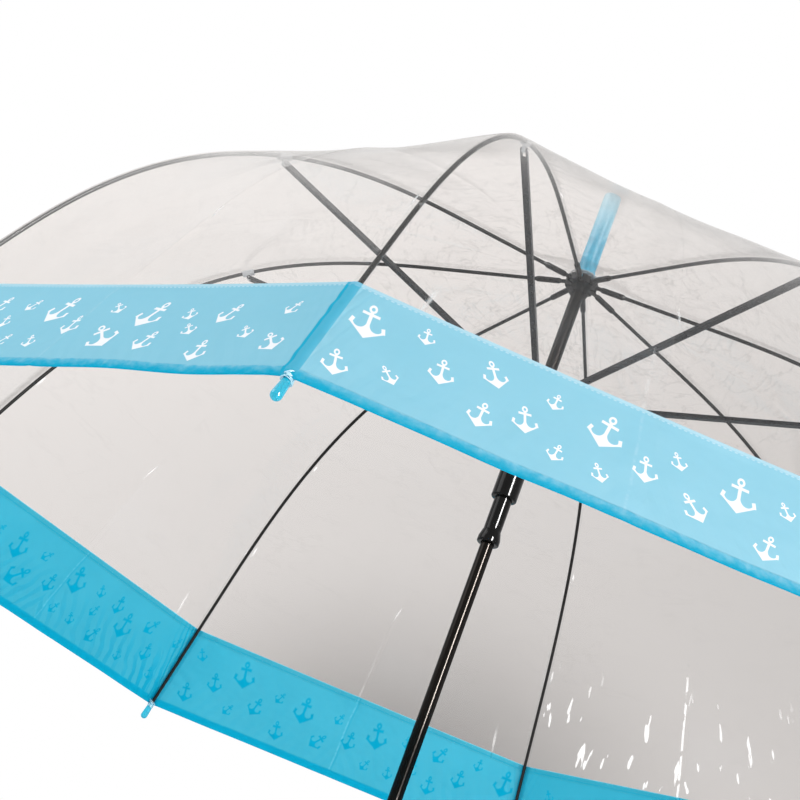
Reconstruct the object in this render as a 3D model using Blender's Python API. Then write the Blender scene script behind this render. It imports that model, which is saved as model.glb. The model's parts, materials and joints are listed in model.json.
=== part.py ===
# Clear dome umbrella with a straight shaft, eight ribs and a printed cloth band at the hem.
# The origin is the middle of the hand's grip, on the shaft's axis, and +Z runs up to the ferrule.

import math

import bmesh
import bpy
from mathutils import Matrix, Vector

# Overall layout, in metres
RIB_COUNT = 8
RIB_LENGTH = 0.600
HUB_HEIGHT = 0.690
FIT_GAP = 0.0003

# The rib's slope below level, which grows along its length from the crown to the hem
SLOPE_START = 0.14
SLOPE_GAIN = 0.99
BEND_FROM = 0.15
BEND_SPAN = 0.67

# Ribs, their brackets and tips
CROWN_PIVOT_RADIUS = 0.010
ROD_RADIUS = 0.0014
FITTING_RADIUS = 0.0022
FITTING_LENGTH = 0.024
EYE_THICKNESS = 0.0020
EYE_RADIUS = 0.0022
EYE_SHOULDER = 0.0019
EYE_END_HEIGHT = 0.0008
EYE_NECK_FROM = 0.0055
EYE_NECK_HEIGHT = 0.0015
FITTING_FROM = 0.0070
BRACKET_DISTANCE = 0.252
BRACKET_LENGTH = 0.009
BRACKET_WALL = 0.0011
BRACKET_DROP = 0.0050
BRACKET_GRIP = 0.0007
TONGUE_THICKNESS = 0.0022
TONGUE_WIDTH = 0.0036
RIVET_RADIUS = 0.0006
TIP_LENGTH = 0.0134
TIP_RADIUS = 0.0030
TIP_SHOULDER_RADIUS = 0.0025
TIP_SHOULDER_LENGTH = 0.0006
TIP_NECK_LENGTH = 0.0020
TIP_NECK_RADIUS = 0.00225
TIP_BORE_DEPTH = 0.0090

# Stretchers, and the wires that the ribs and stretchers hang on
RUNNER_PIVOT_RADIUS = 0.0115
RUNNER_DROP = 0.1030
WIRE_RADIUS = 0.00065
CHANNEL_WIDTH = 0.0042
CHANNEL_HEIGHT = 0.0030
CHANNEL_WALL = 0.0006
FORK_LENGTH = 0.0048
HOOK_LENGTH = 0.0130
HOOK_TIP_RISE = 0.0012
HOOK_SHANK_DEPTH = 0.0013
HOOK_LAP = 0.0039
END_BLOCK_LENGTH = 0.0012
END_BLOCK_HEIGHT = 0.0012
HOOK_OPEN_FROM = math.radians(18)
HOOK_OPEN_TO = math.radians(80)

# Shaft, crown and ferrule
SHAFT_RADIUS = 0.0047
SHAFT_WALL = 0.0007
NOTCH_RIM = 0.0024
NOTCH_HALF_HEIGHT = 0.0032
CROWN_SKIRT = 0.0095
ROSETTE_RADIUS = 0.0110
ROSETTE_THICKNESS = 0.0018
ROSETTE_BORE_RADIUS = 0.00465
ROSETTE_RIM = 0.0007
FERRULE_HEIGHT = 0.0810
FERRULE_BASE_RADIUS = 0.0075
FERRULE_TOP_RADIUS = 0.0066
FERRULE_BEAD = 0.0038
FERRULE_STEP = 0.0007
FERRULE_ROUND = 0.0017
FERRULE_STEM_DEPTH = 0.0200

# Runner
RUNNER_WALL = 0.0014
RUNNER_TRAVEL = 0.3436
RUNNER_NECK = 0.0058
COLLAR_FROM = 0.0580
COLLAR_TO = 0.0810
COLLAR_RADIUS = 0.0094
COLLAR_EDGE = 0.0015
BELL_FROM = 0.1060
BELL_TO = 0.1165
BELL_RADIUS = 0.0081
BELL_HEIGHT = 0.0047
BELL_EDGE = 0.0007
CROSS_PIN_RADIUS = 0.0009
CROSS_PIN_DROP = 0.0740
CROSS_PIN_END = 0.0007

# Canopy
FILM_THICKNESS = 0.0004
CLOTH_THICKNESS = 0.0004
HEM_THICKNESS = 0.0008
HEM_WIDTH = 0.0070
BAND_HEIGHT = 0.0790
SEAM_LAP = 0.0060
CENTRE_HOLE_RADIUS = 0.0070
CROWN_RISE = 0.0034
CROWN_RISE_LENGTH = 0.0450

# Handle and its push button
GRIP_HALF_LENGTH = 0.035
GRIP_RADIUS = 0.0100
GRIP_EDGE = 0.0010
HOOK_BEND_RADIUS = 0.038
HOOK_END_LENGTH = 0.014
SOCKET_DEPTH = 0.058
HANDLE_COLLAR_HEIGHT = 0.034
HANDLE_COLLAR_RADIUS = 0.0125
HANDLE_COLLAR_TOP_RADIUS = 0.0098
HANDLE_COLLAR_EDGE = 0.0015
HANDLE_COLLAR_STRAIGHT = 0.0245
BUTTON_RADIUS = 0.0034
BUTTON_STAND = 0.0022
BUTTON_LENGTH = 0.0052
BUTTON_HEIGHT = 0.0150
BUTTON_DOME = 0.0009
POCKET_FLOOR = 0.0058

# Springs
SPRING_COIL_RADIUS = 0.0032
SPRING_WIRE_RADIUS = 0.0005
SPRING_TURNS = 14
BUTTON_COIL_RADIUS = 0.0020
BUTTON_WIRE_RADIUS = 0.00030
BUTTON_TURNS = 2

# Facets
ROUND_STEPS = 24
TUBE_STEPS = 24
SMALL_STEPS = 8
BEND_STEPS = 9
COIL_STEPS = 6
ARC_STEPS = 6
BUTTON_STEPS = 16
GRIP_SIDES = 16
GRIP_BEND_STEPS = 12

RIB_TURN = math.tau / RIB_COUNT
HALF_TURN = RIB_TURN / 2
CANOPY_CLEARANCE = ROD_RADIUS + FIT_GAP


# ---------------------------------------------------------------- shared tools

def clear_scene():
    for item in list(bpy.data.objects):
        bpy.data.objects.remove(item, do_unlink=True)


def make_material(name, color, roughness, metallic=0.0, alpha=1.0):
    material = bpy.data.materials.new(name)
    material.use_nodes = True
    shader = material.node_tree.nodes["Principled BSDF"]
    shader.inputs["Base Color"].default_value = (*color, 1.0)
    shader.inputs["Roughness"].default_value = roughness
    shader.inputs["Metallic"].default_value = metallic
    shader.inputs["Alpha"].default_value = alpha
    return material


def mesh_from(points, faces):
    """A closed mesh with its faces pointing out."""
    mesh = bpy.data.meshes.new("shape")
    mesh.from_pydata([tuple(p) for p in points], [], faces)
    work = bmesh.new()
    work.from_mesh(mesh)
    bmesh.ops.remove_doubles(work, verts=work.verts, dist=1e-6)
    bmesh.ops.recalc_face_normals(work, faces=work.faces)
    work.to_mesh(mesh)
    work.free()
    return mesh


def loft(rings, closed=False):
    """Skins rings of equally many points. An open loft gets a cap at each end."""
    size = len(rings[0])
    points = [p for ring in rings for p in ring]
    spans = len(rings) if closed else len(rings) - 1
    faces = []
    for k in range(spans):
        here = k * size
        there = (k + 1) % len(rings) * size
        for j in range(size):
            n = (j + 1) % size
            faces.append((here + j, here + n, there + n, there + j))
    if not closed:
        faces.append(tuple(range(size)))
        faces.append(tuple(range((len(rings) - 1) * size, len(rings) * size)))
    return mesh_from(points, faces)


def turned(profile, steps=ROUND_STEPS):
    """Turns a closed outline of (radius, z) points about Z. Points on the axis become single points."""
    points = []
    columns = []
    for radius, z in profile:
        if radius < 1e-7:
            columns.append([len(points)] * steps)
            points.append((0, 0, z))
        else:
            columns.append(list(range(len(points), len(points) + steps)))
            for k in range(steps):
                angle = math.tau * k / steps
                points.append((radius * math.cos(angle), radius * math.sin(angle), z))
    faces = []
    for i, column in enumerate(columns):
        after = columns[(i + 1) % len(columns)]
        for k in range(steps):
            n = (k + 1) % steps
            corners = []
            for corner in (column[k], column[n], after[n], after[k]):
                if corner not in corners:
                    corners.append(corner)
            if len(corners) > 2:
                faces.append(tuple(corners))
    return mesh_from(points, faces)


def plate(outline, thickness):
    """A flat plate from an outline of (x, z) points, centred on the plane y = 0."""
    near = [(x, -thickness / 2, z) for x, z in outline]
    far = [(x, thickness / 2, z) for x, z in outline]
    return loft([near, far])


def rod_along_y(radius, length, x=0.0, z=0.0, steps=SMALL_STEPS):
    angles = [math.tau * k / steps for k in range(steps)]
    return plate([(x + radius * math.cos(a), z + radius * math.sin(a)) for a in angles], length)


def moved(mesh, matrix):
    mesh.transform(matrix)
    return mesh


def combined(mesh, others, operation):
    """The mesh with each of the others cut away or joined on."""
    base = bpy.data.objects.new("base", mesh)
    bpy.context.collection.objects.link(base)
    tools = []
    for other in others:
        tool = bpy.data.objects.new("tool", other)
        bpy.context.collection.objects.link(tool)
        tools.append(tool)
        modifier = base.modifiers.new("combine", "BOOLEAN")
        modifier.object = tool
        modifier.operation = operation
    depsgraph = bpy.context.evaluated_depsgraph_get()
    result = bpy.data.meshes.new_from_object(base.evaluated_get(depsgraph))
    for item in tools + [base]:
        bpy.data.objects.remove(item, do_unlink=True)
    return result


def add_object(name, mesh, material, parent=None, matrix=Matrix(), smooth_angle=35):
    item = bpy.data.objects.new(name, mesh)
    bpy.context.collection.objects.link(item)
    mesh.materials.clear()
    mesh.materials.append(material)
    mesh.shade_smooth()
    mesh.set_sharp_from_angle(angle=math.radians(smooth_angle))
    item.parent = parent
    item.matrix_local = matrix
    return item


def add_axis(name, parent=None, matrix=Matrix()):
    axis = bpy.data.objects.new(name, None)
    axis.empty_display_size = 0.01
    bpy.context.collection.objects.link(axis)
    axis.parent = parent
    axis.matrix_local = matrix
    return axis


def helix(coil_radius, wire_radius, bottom, top, turns, steps_per_turn=COIL_STEPS, sides=4):
    """A coil about Z whose end rings lie on the given heights."""
    rings = []
    count = turns * steps_per_turn
    rise = top - bottom - 2 * wire_radius
    for k in range(count + 1):
        turn = math.tau * k / steps_per_turn
        out = Vector((math.cos(turn), math.sin(turn), 0))
        centre = out * coil_radius + Vector((0, 0, bottom + wire_radius + rise * k / count))
        ring = []
        for j in range(sides):
            a = math.tau * j / sides
            ring.append(centre + (out * math.cos(a) + Vector((0, 0, 1)) * math.sin(a)) * wire_radius)
        rings.append(ring)
    return loft(rings)


# ---------------------------------------------------------------- the rib's curve

def slope_at(distance):
    """Angle below level, from a smooth step between the crown and the hem."""
    t = min(max((distance / RIB_LENGTH - BEND_FROM) / BEND_SPAN, 0.0), 1.0)
    return SLOPE_START + SLOPE_GAIN * t * t * (3 - 2 * t)


def rib_at(distance):
    """Place (out from the crown pivot, up) and slope on the rib's centre line."""
    if distance <= 0:
        slope = slope_at(0)
        return distance * math.cos(slope), -distance * math.sin(slope), slope
    steps = max(2, round(distance / 0.002))
    step = distance / steps
    out = 0.0
    up = 0.0
    for k in range(steps):
        slope = slope_at((k + 0.5) * step)
        out += step * math.cos(slope)
        up -= step * math.sin(slope)
    return out, up, slope_at(distance)


def beside_rib(distance, height):
    """A point in the rib's own plane, at a height square to the rib."""
    out, up, slope = rib_at(distance)
    return out + height * math.sin(slope), up + height * math.cos(slope)


def bracket_pin():
    return beside_rib(BRACKET_DISTANCE, -BRACKET_DROP)


def stretcher_line():
    """Length of the stretcher between its two pivots, and its slope below level at rest."""
    out, up = bracket_pin()
    run = out + CROWN_PIVOT_RADIUS - RUNNER_PIVOT_RADIUS
    fall = up + RUNNER_DROP
    return math.hypot(run, fall), math.atan2(fall, run)


def stations_between(first, last):
    """Distances along the rib at which it and the canopy over it bend, so that their facets stay parallel."""
    start = RIB_LENGTH * BEND_FROM
    marks = [start + RIB_LENGTH * BEND_SPAN * k / BEND_STEPS for k in range(BEND_STEPS + 1)]
    marks += [BRACKET_DISTANCE - BRACKET_LENGTH / 2, BRACKET_DISTANCE + BRACKET_LENGTH / 2]
    return [first] + sorted(mark for mark in marks if first < mark < last) + [last]


def oval_ring(distance, half_width, half_height):
    """Eight points around the rib, square to it."""
    out, up, slope = rib_at(distance)
    ring = []
    for k in range(8):
        angle = math.tau * (k + 0.5) / 8
        across = half_width * math.cos(angle) / math.cos(math.pi / 8)
        height = half_height * math.sin(angle) / math.cos(math.pi / 8)
        ring.append((out + height * math.sin(slope), across, up + height * math.cos(slope)))
    return ring


# ---------------------------------------------------------------- rib sub-parts

def rib_mesh():
    """Rod with a thicker end fitting, flattened to an eye that turns on the crown's wire."""
    half_eye = EYE_THICKNESS / 2
    rings = [
        oval_ring(-EYE_RADIUS, half_eye, EYE_END_HEIGHT),
        oval_ring(EYE_END_HEIGHT - EYE_RADIUS, half_eye, EYE_SHOULDER),
        oval_ring(0, half_eye, EYE_RADIUS),
        oval_ring(EYE_RADIUS, half_eye, EYE_SHOULDER),
        oval_ring(EYE_NECK_FROM, half_eye, EYE_NECK_HEIGHT),
        oval_ring(FITTING_FROM, FITTING_RADIUS, FITTING_RADIUS),
        oval_ring(FITTING_LENGTH, FITTING_RADIUS, FITTING_RADIUS),
        oval_ring(FITTING_LENGTH + ROD_RADIUS, ROD_RADIUS, ROD_RADIUS),
    ]
    for distance in stations_between(CROWN_RISE_LENGTH, rod_end()):
        rings.append(oval_ring(distance, ROD_RADIUS, ROD_RADIUS))
    return combined(loft(rings), [rod_along_y(WIRE_RADIUS + FIT_GAP, 2 * EYE_THICKNESS)], "DIFFERENCE")


def rod_end():
    return RIB_LENGTH - TIP_NECK_LENGTH + TIP_BORE_DEPTH - FIT_GAP


def at_rib(distance):
    """Matrix with X along the rib, Z square to it and upward."""
    out, up, slope = rib_at(distance)
    return Matrix.Translation((out, 0, up)) @ Matrix.Rotation(slope, 4, "Y")


def bracket_mesh():
    """Saddle that snaps up onto the rod, with a tongue below that carries a rivet."""
    inner = ROD_RADIUS + FIT_GAP
    outer = inner + BRACKET_WALL
    lip_angle = math.asin(BRACKET_GRIP / outer)
    sweep = math.pi + 2 * lip_angle
    outline = []
    for radius, order in ((outer, range(SMALL_STEPS + 1)), (inner, reversed(range(SMALL_STEPS + 1)))):
        for k in order:
            angle = lip_angle - sweep * k / SMALL_STEPS
            outline.append((radius * math.cos(angle), radius * math.sin(angle)))
    saddle = loft([[(x, y, z) for y, z in outline] for x in (-BRACKET_LENGTH / 2, BRACKET_LENGTH / 2)])
    half = TONGUE_WIDTH / 2
    top = -(inner + outer) / 2
    tongue = [(half, top), (-half, top)]
    for k in range(ARC_STEPS + 1):
        angle = math.pi + math.pi * k / ARC_STEPS
        tongue.append((half * math.cos(angle), -BRACKET_DROP + half * math.sin(angle)))
    rivet_length = CHANNEL_WIDTH + 2 * FIT_GAP
    rivet = rod_along_y(RIVET_RADIUS, rivet_length, 0, -BRACKET_DROP)
    return combined(saddle, [plate(tongue, TONGUE_THICKNESS), rivet], "UNION")


def tip_mesh():
    """Blind cap with a thread neck and a barrel that widens to a round end, along X from the neck's mouth."""
    bore = ROD_RADIUS + FIT_GAP
    barrel_from = TIP_NECK_LENGTH + FIT_GAP * 2
    dome_from = barrel_from + TIP_LENGTH - TIP_RADIUS
    profile = [(bore, 0), (TIP_NECK_RADIUS, 0)]
    profile += [(TIP_NECK_RADIUS, barrel_from), (TIP_SHOULDER_RADIUS, barrel_from + TIP_SHOULDER_LENGTH)]
    dome_steps = 4
    for k in range(dome_steps):
        angle = math.pi / 2 * k / dome_steps
        profile.append((TIP_RADIUS * math.cos(angle), dome_from + TIP_RADIUS * math.sin(angle)))
    profile.append((0, dome_from + TIP_RADIUS))
    profile += [(0, TIP_BORE_DEPTH), (bore, TIP_BORE_DEPTH)]
    return moved(turned(profile, SMALL_STEPS), Matrix.Rotation(math.pi / 2, 4, "Y"))


def panel_point(distance, height, side):
    """A point on one edge of a panel, in the frame of the panel's middle. Panels are flat across."""
    out, up, slope = rib_at(distance)
    middle = (out + CROWN_PIVOT_RADIUS) * math.cos(HALF_TURN)
    normal = Vector((math.sin(slope), math.cos(slope) * math.cos(HALF_TURN))).normalized()
    radius = middle + height * normal.x
    across = radius * math.tan(HALF_TURN) - FIT_GAP / 2 / math.cos(HALF_TURN)
    return Vector((radius, side * across, up + height * normal.y))


def panel_mesh(stations):
    """A thin panel between two ribs, in the first's frame. Stations are (distance, inner, outer height)."""
    rings = []
    for distance, inner, outer in stations:
        ring = [panel_point(distance, inner, -1), panel_point(distance, inner, 1)]
        ring += [panel_point(distance, outer, 1), panel_point(distance, outer, -1)]
        rings.append(ring)
    turn = Matrix.Rotation(-HALF_TURN, 4, "Z")
    return moved(loft(rings), Matrix.Translation((-CROWN_PIVOT_RADIUS, 0, 0)) @ turn)


def film_mesh():
    """The clear panel, which rises over the crown at its centre and ends under the band."""
    inner_end = CENTRE_HOLE_RADIUS / math.cos(HALF_TURN) - CROWN_PIVOT_RADIUS
    outer_end = RIB_LENGTH - BAND_HEIGHT + SEAM_LAP
    stations = []
    rise_steps = 5
    for k in range(rise_steps):
        stations.append(film_station(inner_end + (CROWN_RISE_LENGTH - inner_end) * k / rise_steps))
    for distance in stations_between(CROWN_RISE_LENGTH, outer_end):
        stations.append(film_station(distance))
    return panel_mesh(stations)


def film_station(distance):
    share = min(max(distance / CROWN_RISE_LENGTH, 0.0), 1.0)
    inner = CANOPY_CLEARANCE + CROWN_RISE * (1 - share * share * (3 - 2 * share))
    return distance, inner, inner + FILM_THICKNESS


def band_mesh():
    """The cloth band, lapped over the film at its top and folded double at its hem."""
    inner = CANOPY_CLEARANCE + FILM_THICKNESS + FIT_GAP
    top = RIB_LENGTH - BAND_HEIGHT
    hem = RIB_LENGTH - HEM_WIDTH
    outer = inner + CLOTH_THICKNESS
    stations = [(top, inner, outer), ((top + hem) / 2, inner, outer), (hem - FIT_GAP, inner, outer)]
    outer = inner + HEM_THICKNESS
    stations += [(hem, inner, outer), (RIB_LENGTH, inner, outer)]
    return panel_mesh(stations)


# ---------------------------------------------------------------- stretchers

def channel_outline():
    """Open channel section as (y, z) points, its web below and its middle height at zero."""
    half = CHANNEL_WIDTH / 2
    inside = half - CHANNEL_WALL
    low = -CHANNEL_HEIGHT / 2
    high = CHANNEL_HEIGHT / 2
    floor = low + CHANNEL_WALL
    return [(-half, high), (-half, low), (half, low), (half, high), (inside, high), (inside, floor),
            (-inside, floor), (-inside, high)]


def hook_outline():
    """Open hook around the far pivot at the origin, with its shank along +X."""
    seat = WIRE_RADIUS + FIT_GAP
    outer = EYE_RADIUS
    outline = []
    start = math.pi - math.asin(HOOK_TIP_RISE / outer)
    for k in range(ARC_STEPS + 1):
        angle = start + (1.5 * math.pi - start) * k / ARC_STEPS
        outline.append((outer * math.cos(angle), outer * math.sin(angle)))
    shank_top = END_BLOCK_HEIGHT
    outline += [(HOOK_LENGTH, -HOOK_SHANK_DEPTH), (HOOK_LENGTH, shank_top)]
    ramp = math.tan(HOOK_OPEN_FROM)
    drop = seat / math.cos(HOOK_OPEN_FROM)
    outline.append(((shank_top + drop) / ramp, shank_top))
    first = HOOK_OPEN_FROM - math.pi / 2
    last = HOOK_OPEN_TO + math.pi / 2 - math.tau
    for k in range(ARC_STEPS + 1):
        angle = first + (last - first) * k / ARC_STEPS
        outline.append((seat * math.cos(angle), seat * math.sin(angle)))
    lean = math.tan(math.pi / 2 - HOOK_OPEN_TO)
    outline.append((HOOK_TIP_RISE * lean - seat / math.sin(HOOK_OPEN_TO), HOOK_TIP_RISE))
    return outline


def stretcher_mesh():
    """Pressed channel with a fork for the bracket's rivet at the origin and a hook at its far end on -X."""
    length, _ = stretcher_line()
    near = -FORK_LENGTH
    far = HOOK_LENGTH - HOOK_LAP - length
    section = channel_outline()
    channel = loft([[(x, y, z) for y, z in section] for x in (near, far)])
    ears = []
    ear_half = CHANNEL_HEIGHT / 2
    ear = []
    for k in range(ARC_STEPS + 1):
        angle = math.pi / 2 - math.pi * k / ARC_STEPS
        ear.append((ear_half * math.cos(angle), ear_half * math.sin(angle)))
    ear += [(near - CHANNEL_WALL, -ear_half), (near - CHANNEL_WALL, ear_half)]
    offset = (CHANNEL_WIDTH - CHANNEL_WALL) / 2
    for side in (-1, 1):
        ears.append(moved(plate(ear, CHANNEL_WALL), Matrix.Translation((0, side * offset, 0))))
    hook = moved(plate(hook_outline(), EYE_THICKNESS), Matrix.Translation((-length, 0, 0)))
    block_to = far + END_BLOCK_LENGTH / 2
    block_from = block_to - END_BLOCK_LENGTH
    end_block = [(block_to, -ear_half), (block_from, -ear_half), (block_from, END_BLOCK_HEIGHT),
                 (block_to, END_BLOCK_HEIGHT)]
    block = plate(end_block, CHANNEL_WIDTH)
    body = combined(channel, ears + [block, hook], "UNION")
    return combined(body, [rod_along_y(RIVET_RADIUS + FIT_GAP, CHANNEL_WIDTH * 2)], "DIFFERENCE")


# ---------------------------------------------------------------- shaft, crown and ferrule

def shaft_mesh():
    """Steel tube with a slot on each side, towards +X and -X, for the runner's cross pin."""
    inner = SHAFT_RADIUS - SHAFT_WALL
    top = HUB_HEIGHT + NOTCH_HALF_HEIGHT
    bottom = GRIP_HALF_LENGTH - SOCKET_DEPTH + FIT_GAP
    tube = turned([(inner, bottom), (SHAFT_RADIUS, bottom), (SHAFT_RADIUS, top), (inner, top)], TUBE_STEPS)
    slot_radius = CROSS_PIN_RADIUS + FIT_GAP
    high = HUB_HEIGHT - RUNNER_DROP - CROSS_PIN_DROP + slot_radius * 2
    low = high - RUNNER_TRAVEL - slot_radius * 4
    outline = [(-slot_radius, low), (slot_radius, low), (slot_radius, high), (-slot_radius, high)]
    slots = moved(plate(outline, SHAFT_RADIUS * 4), Matrix.Rotation(math.pi / 2, 4, "Z"))
    return combined(tube, [slots], "DIFFERENCE")


def notch_cutters(pivot_radius, floor_radius, rim_radius):
    """One slot for each rib or stretcher, and the groove that their wire lies in."""
    width = EYE_THICKNESS / 2 + FIT_GAP
    reach = rim_radius + EYE_RADIUS
    height = NOTCH_HALF_HEIGHT + EYE_RADIUS
    cutters = []
    for k in range(RIB_COUNT):
        outline = [(floor_radius, -height), (reach, -height), (reach, height), (floor_radius, height)]
        slot = plate(outline, width * 2)
        cutters.append(moved(slot, Matrix.Rotation(rib_azimuth(k), 4, "Z")))
    cutters.append(torus_mesh(pivot_radius, WIRE_RADIUS + FIT_GAP))
    return cutters


def torus_mesh(radius, wire_radius):
    sides = 6
    profile = []
    for k in range(sides):
        angle = math.tau * k / sides
        profile.append((radius + wire_radius * math.cos(angle), wire_radius * math.sin(angle)))
    return turned(profile, ROUND_STEPS)


def crown_mesh():
    """Notched ring with a skirt, pressed on the shaft's top. Its pivots lie at z = 0."""
    bore = SHAFT_RADIUS + FIT_GAP
    rim = CROWN_PIVOT_RADIUS + NOTCH_RIM
    floor = CROWN_PIVOT_RADIUS - EYE_RADIUS - FIT_GAP
    half = NOTCH_HALF_HEIGHT
    skirt = floor - FIT_GAP
    profile = [(bore, half), (bore, -CROWN_SKIRT), (skirt, -CROWN_SKIRT), (skirt, -half), (rim, -half),
               (rim, half)]
    return combined(turned(profile), notch_cutters(CROWN_PIVOT_RADIUS, floor, rim), "DIFFERENCE")


def canopy_top():
    """Height of the film's upper face at its centre hole, above the crown's pivots."""
    inner_end = CENTRE_HOLE_RADIUS / math.cos(HALF_TURN) - CROWN_PIVOT_RADIUS
    distance, _, outer = film_station(inner_end)
    return panel_point(distance, outer, 1).z


def rosette_mesh():
    """Washer that holds the film down on the crown."""
    low = canopy_top() + FIT_GAP
    high = low + ROSETTE_THICKNESS
    bevel = ROSETTE_THICKNESS - ROSETTE_RIM
    profile = [(ROSETTE_BORE_RADIUS, low), (ROSETTE_RADIUS, low), (ROSETTE_RADIUS, low + ROSETTE_RIM),
               (ROSETTE_RADIUS - bevel, high), (ROSETTE_BORE_RADIUS, high)]
    return turned(profile)


def ferrule_mesh():
    """Tapered spike with a flat end, and a stem that plugs into the shaft."""
    stem = SHAFT_RADIUS - SHAFT_WALL - FIT_GAP
    base = canopy_top() + ROSETTE_THICKNESS + 2 * FIT_GAP
    bead = base + FERRULE_BEAD
    profile = [(0, -FERRULE_STEM_DEPTH), (stem, -FERRULE_STEM_DEPTH), (stem, base)]
    profile += [(FERRULE_BASE_RADIUS, base), (FERRULE_BASE_RADIUS, bead)]
    profile.append((FERRULE_BASE_RADIUS - FERRULE_STEP, bead + FERRULE_STEP))
    round_steps = 3
    for k in range(round_steps + 1):
        angle = math.pi / 2 * k / round_steps
        radius = FERRULE_TOP_RADIUS - FERRULE_ROUND * (1 - math.cos(angle))
        profile.append((radius, FERRULE_HEIGHT - FERRULE_ROUND * (1 - math.sin(angle))))
    profile.append((0, FERRULE_HEIGHT))
    return turned(profile, TUBE_STEPS)


# ---------------------------------------------------------------- runner

def runner_mesh():
    """Sleeve with a notched ring, a hand collar, a neck and a flared end. Its pivots lie at z = 0."""
    bore = SHAFT_RADIUS + FIT_GAP
    sleeve = bore + RUNNER_WALL
    rim = RUNNER_PIVOT_RADIUS + NOTCH_RIM
    half = NOTCH_HALF_HEIGHT
    edge = COLLAR_EDGE
    profile = [(bore, RUNNER_NECK), (bore, -BELL_TO), (BELL_RADIUS - BELL_EDGE, -BELL_TO)]
    profile += [(BELL_RADIUS, -BELL_TO + BELL_EDGE), (BELL_RADIUS, -BELL_TO + BELL_HEIGHT)]
    profile.append((sleeve, -BELL_FROM))
    profile += [(sleeve, -COLLAR_TO), (COLLAR_RADIUS - edge, -COLLAR_TO), (COLLAR_RADIUS, -COLLAR_TO + edge)]
    profile += [(COLLAR_RADIUS, -COLLAR_FROM - edge), (sleeve, -COLLAR_FROM + edge)]
    profile += [(sleeve, -half), (rim, -half), (rim, half), (sleeve, half), (sleeve, RUNNER_NECK)]
    cutters = notch_cutters(RUNNER_PIVOT_RADIUS, sleeve + FIT_GAP / 3, rim)
    body = combined(turned(profile), cutters, "DIFFERENCE")
    pin = rod_along_y(CROSS_PIN_RADIUS, 2 * (bore + CROSS_PIN_END), 0, -CROSS_PIN_DROP)
    return combined(body, [moved(pin, Matrix.Rotation(math.pi / 2, 4, "Z"))], "UNION")


# ---------------------------------------------------------------- handle

def crook_mesh():
    """Bent grip of round section with a socket for the shaft."""
    top = GRIP_HALF_LENGTH - FIT_GAP
    path = [(Vector((0, 0, top)), Vector((0, 0, -1)), GRIP_RADIUS - GRIP_EDGE)]
    path.append((Vector((0, 0, top - GRIP_EDGE)), Vector((0, 0, -1)), GRIP_RADIUS))
    for k in range(GRIP_BEND_STEPS + 1):
        angle = math.pi * k / GRIP_BEND_STEPS
        centre = Vector((HOOK_BEND_RADIUS * (1 - math.cos(angle)), 0,
                         -GRIP_HALF_LENGTH - HOOK_BEND_RADIUS * math.sin(angle)))
        path.append((centre, Vector((math.sin(angle), 0, -math.cos(angle))), GRIP_RADIUS))
    end = Vector((2 * HOOK_BEND_RADIUS, 0, -GRIP_HALF_LENGTH + HOOK_END_LENGTH))
    dome_steps = 4
    for k in range(dome_steps):
        angle = math.pi / 2 * k / dome_steps
        lift = Vector((0, 0, GRIP_RADIUS * math.sin(angle)))
        path.append((end + lift, Vector((0, 0, 1)), GRIP_RADIUS * math.cos(angle)))
    rings = []
    for centre, along, radius in path:
        side = Vector((0, 1, 0)).cross(along)
        ring = []
        for j in range(GRIP_SIDES):
            a = math.tau * j / GRIP_SIDES
            ring.append(centre + (side * math.cos(a) + Vector((0, 1, 0)) * math.sin(a)) * radius)
        rings.append(ring)
    bore = SHAFT_RADIUS + FIT_GAP
    deep = GRIP_HALF_LENGTH - SOCKET_DEPTH
    socket = turned([(0, deep), (bore, deep), (bore, top + bore), (0, top + bore)], TUBE_STEPS)
    return combined(loft(rings), [socket], "DIFFERENCE")


def handle_collar_mesh():
    """Turned collar above the grip with a round pocket for the push button."""
    bore = SHAFT_RADIUS + FIT_GAP
    low = GRIP_HALF_LENGTH
    high = low + HANDLE_COLLAR_HEIGHT
    edge = HANDLE_COLLAR_EDGE
    profile = [(bore, low), (HANDLE_COLLAR_RADIUS - edge, low), (HANDLE_COLLAR_RADIUS, low + edge)]
    profile += [(HANDLE_COLLAR_RADIUS, low + HANDLE_COLLAR_STRAIGHT)]
    profile += [(HANDLE_COLLAR_TOP_RADIUS, high - edge), (HANDLE_COLLAR_TOP_RADIUS - edge, high)]
    profile.append((bore, high))
    pocket_radius = BUTTON_RADIUS + FIT_GAP
    depth = HANDLE_COLLAR_RADIUS * 2 - POCKET_FLOOR
    pocket = turned([(0, 0), (pocket_radius, 0), (pocket_radius, depth), (0, depth)], BUTTON_STEPS)
    pocket = moved(pocket, button_frame() @ Matrix.Translation((0, 0, POCKET_FLOOR)))
    return combined(turned(profile), [pocket], "DIFFERENCE")


def button_frame():
    """Matrix at the shaft's axis with Z along the button's outward travel, which is -X."""
    height = GRIP_HALF_LENGTH + BUTTON_HEIGHT
    return Matrix.Translation((0, 0, height)) @ Matrix.Rotation(-math.pi / 2, 4, "Y")


def button_mesh():
    """Round key with a domed face, in the button's frame."""
    outer = HANDLE_COLLAR_RADIUS + BUTTON_STAND
    inner = outer - BUTTON_LENGTH
    shoulder = BUTTON_RADIUS - BUTTON_DOME
    profile = [(0, inner), (BUTTON_RADIUS, inner), (BUTTON_RADIUS, outer - BUTTON_DOME)]
    profile += [(shoulder, outer - BUTTON_DOME / 4), (0, outer)]
    return turned(profile, BUTTON_STEPS)


def button_spring_mesh():
    low = POCKET_FLOOR + FIT_GAP
    high = HANDLE_COLLAR_RADIUS + BUTTON_STAND - BUTTON_LENGTH - FIT_GAP
    return helix(BUTTON_COIL_RADIUS, BUTTON_WIRE_RADIUS, low, high, BUTTON_TURNS)


# ---------------------------------------------------------------- assembly

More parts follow.
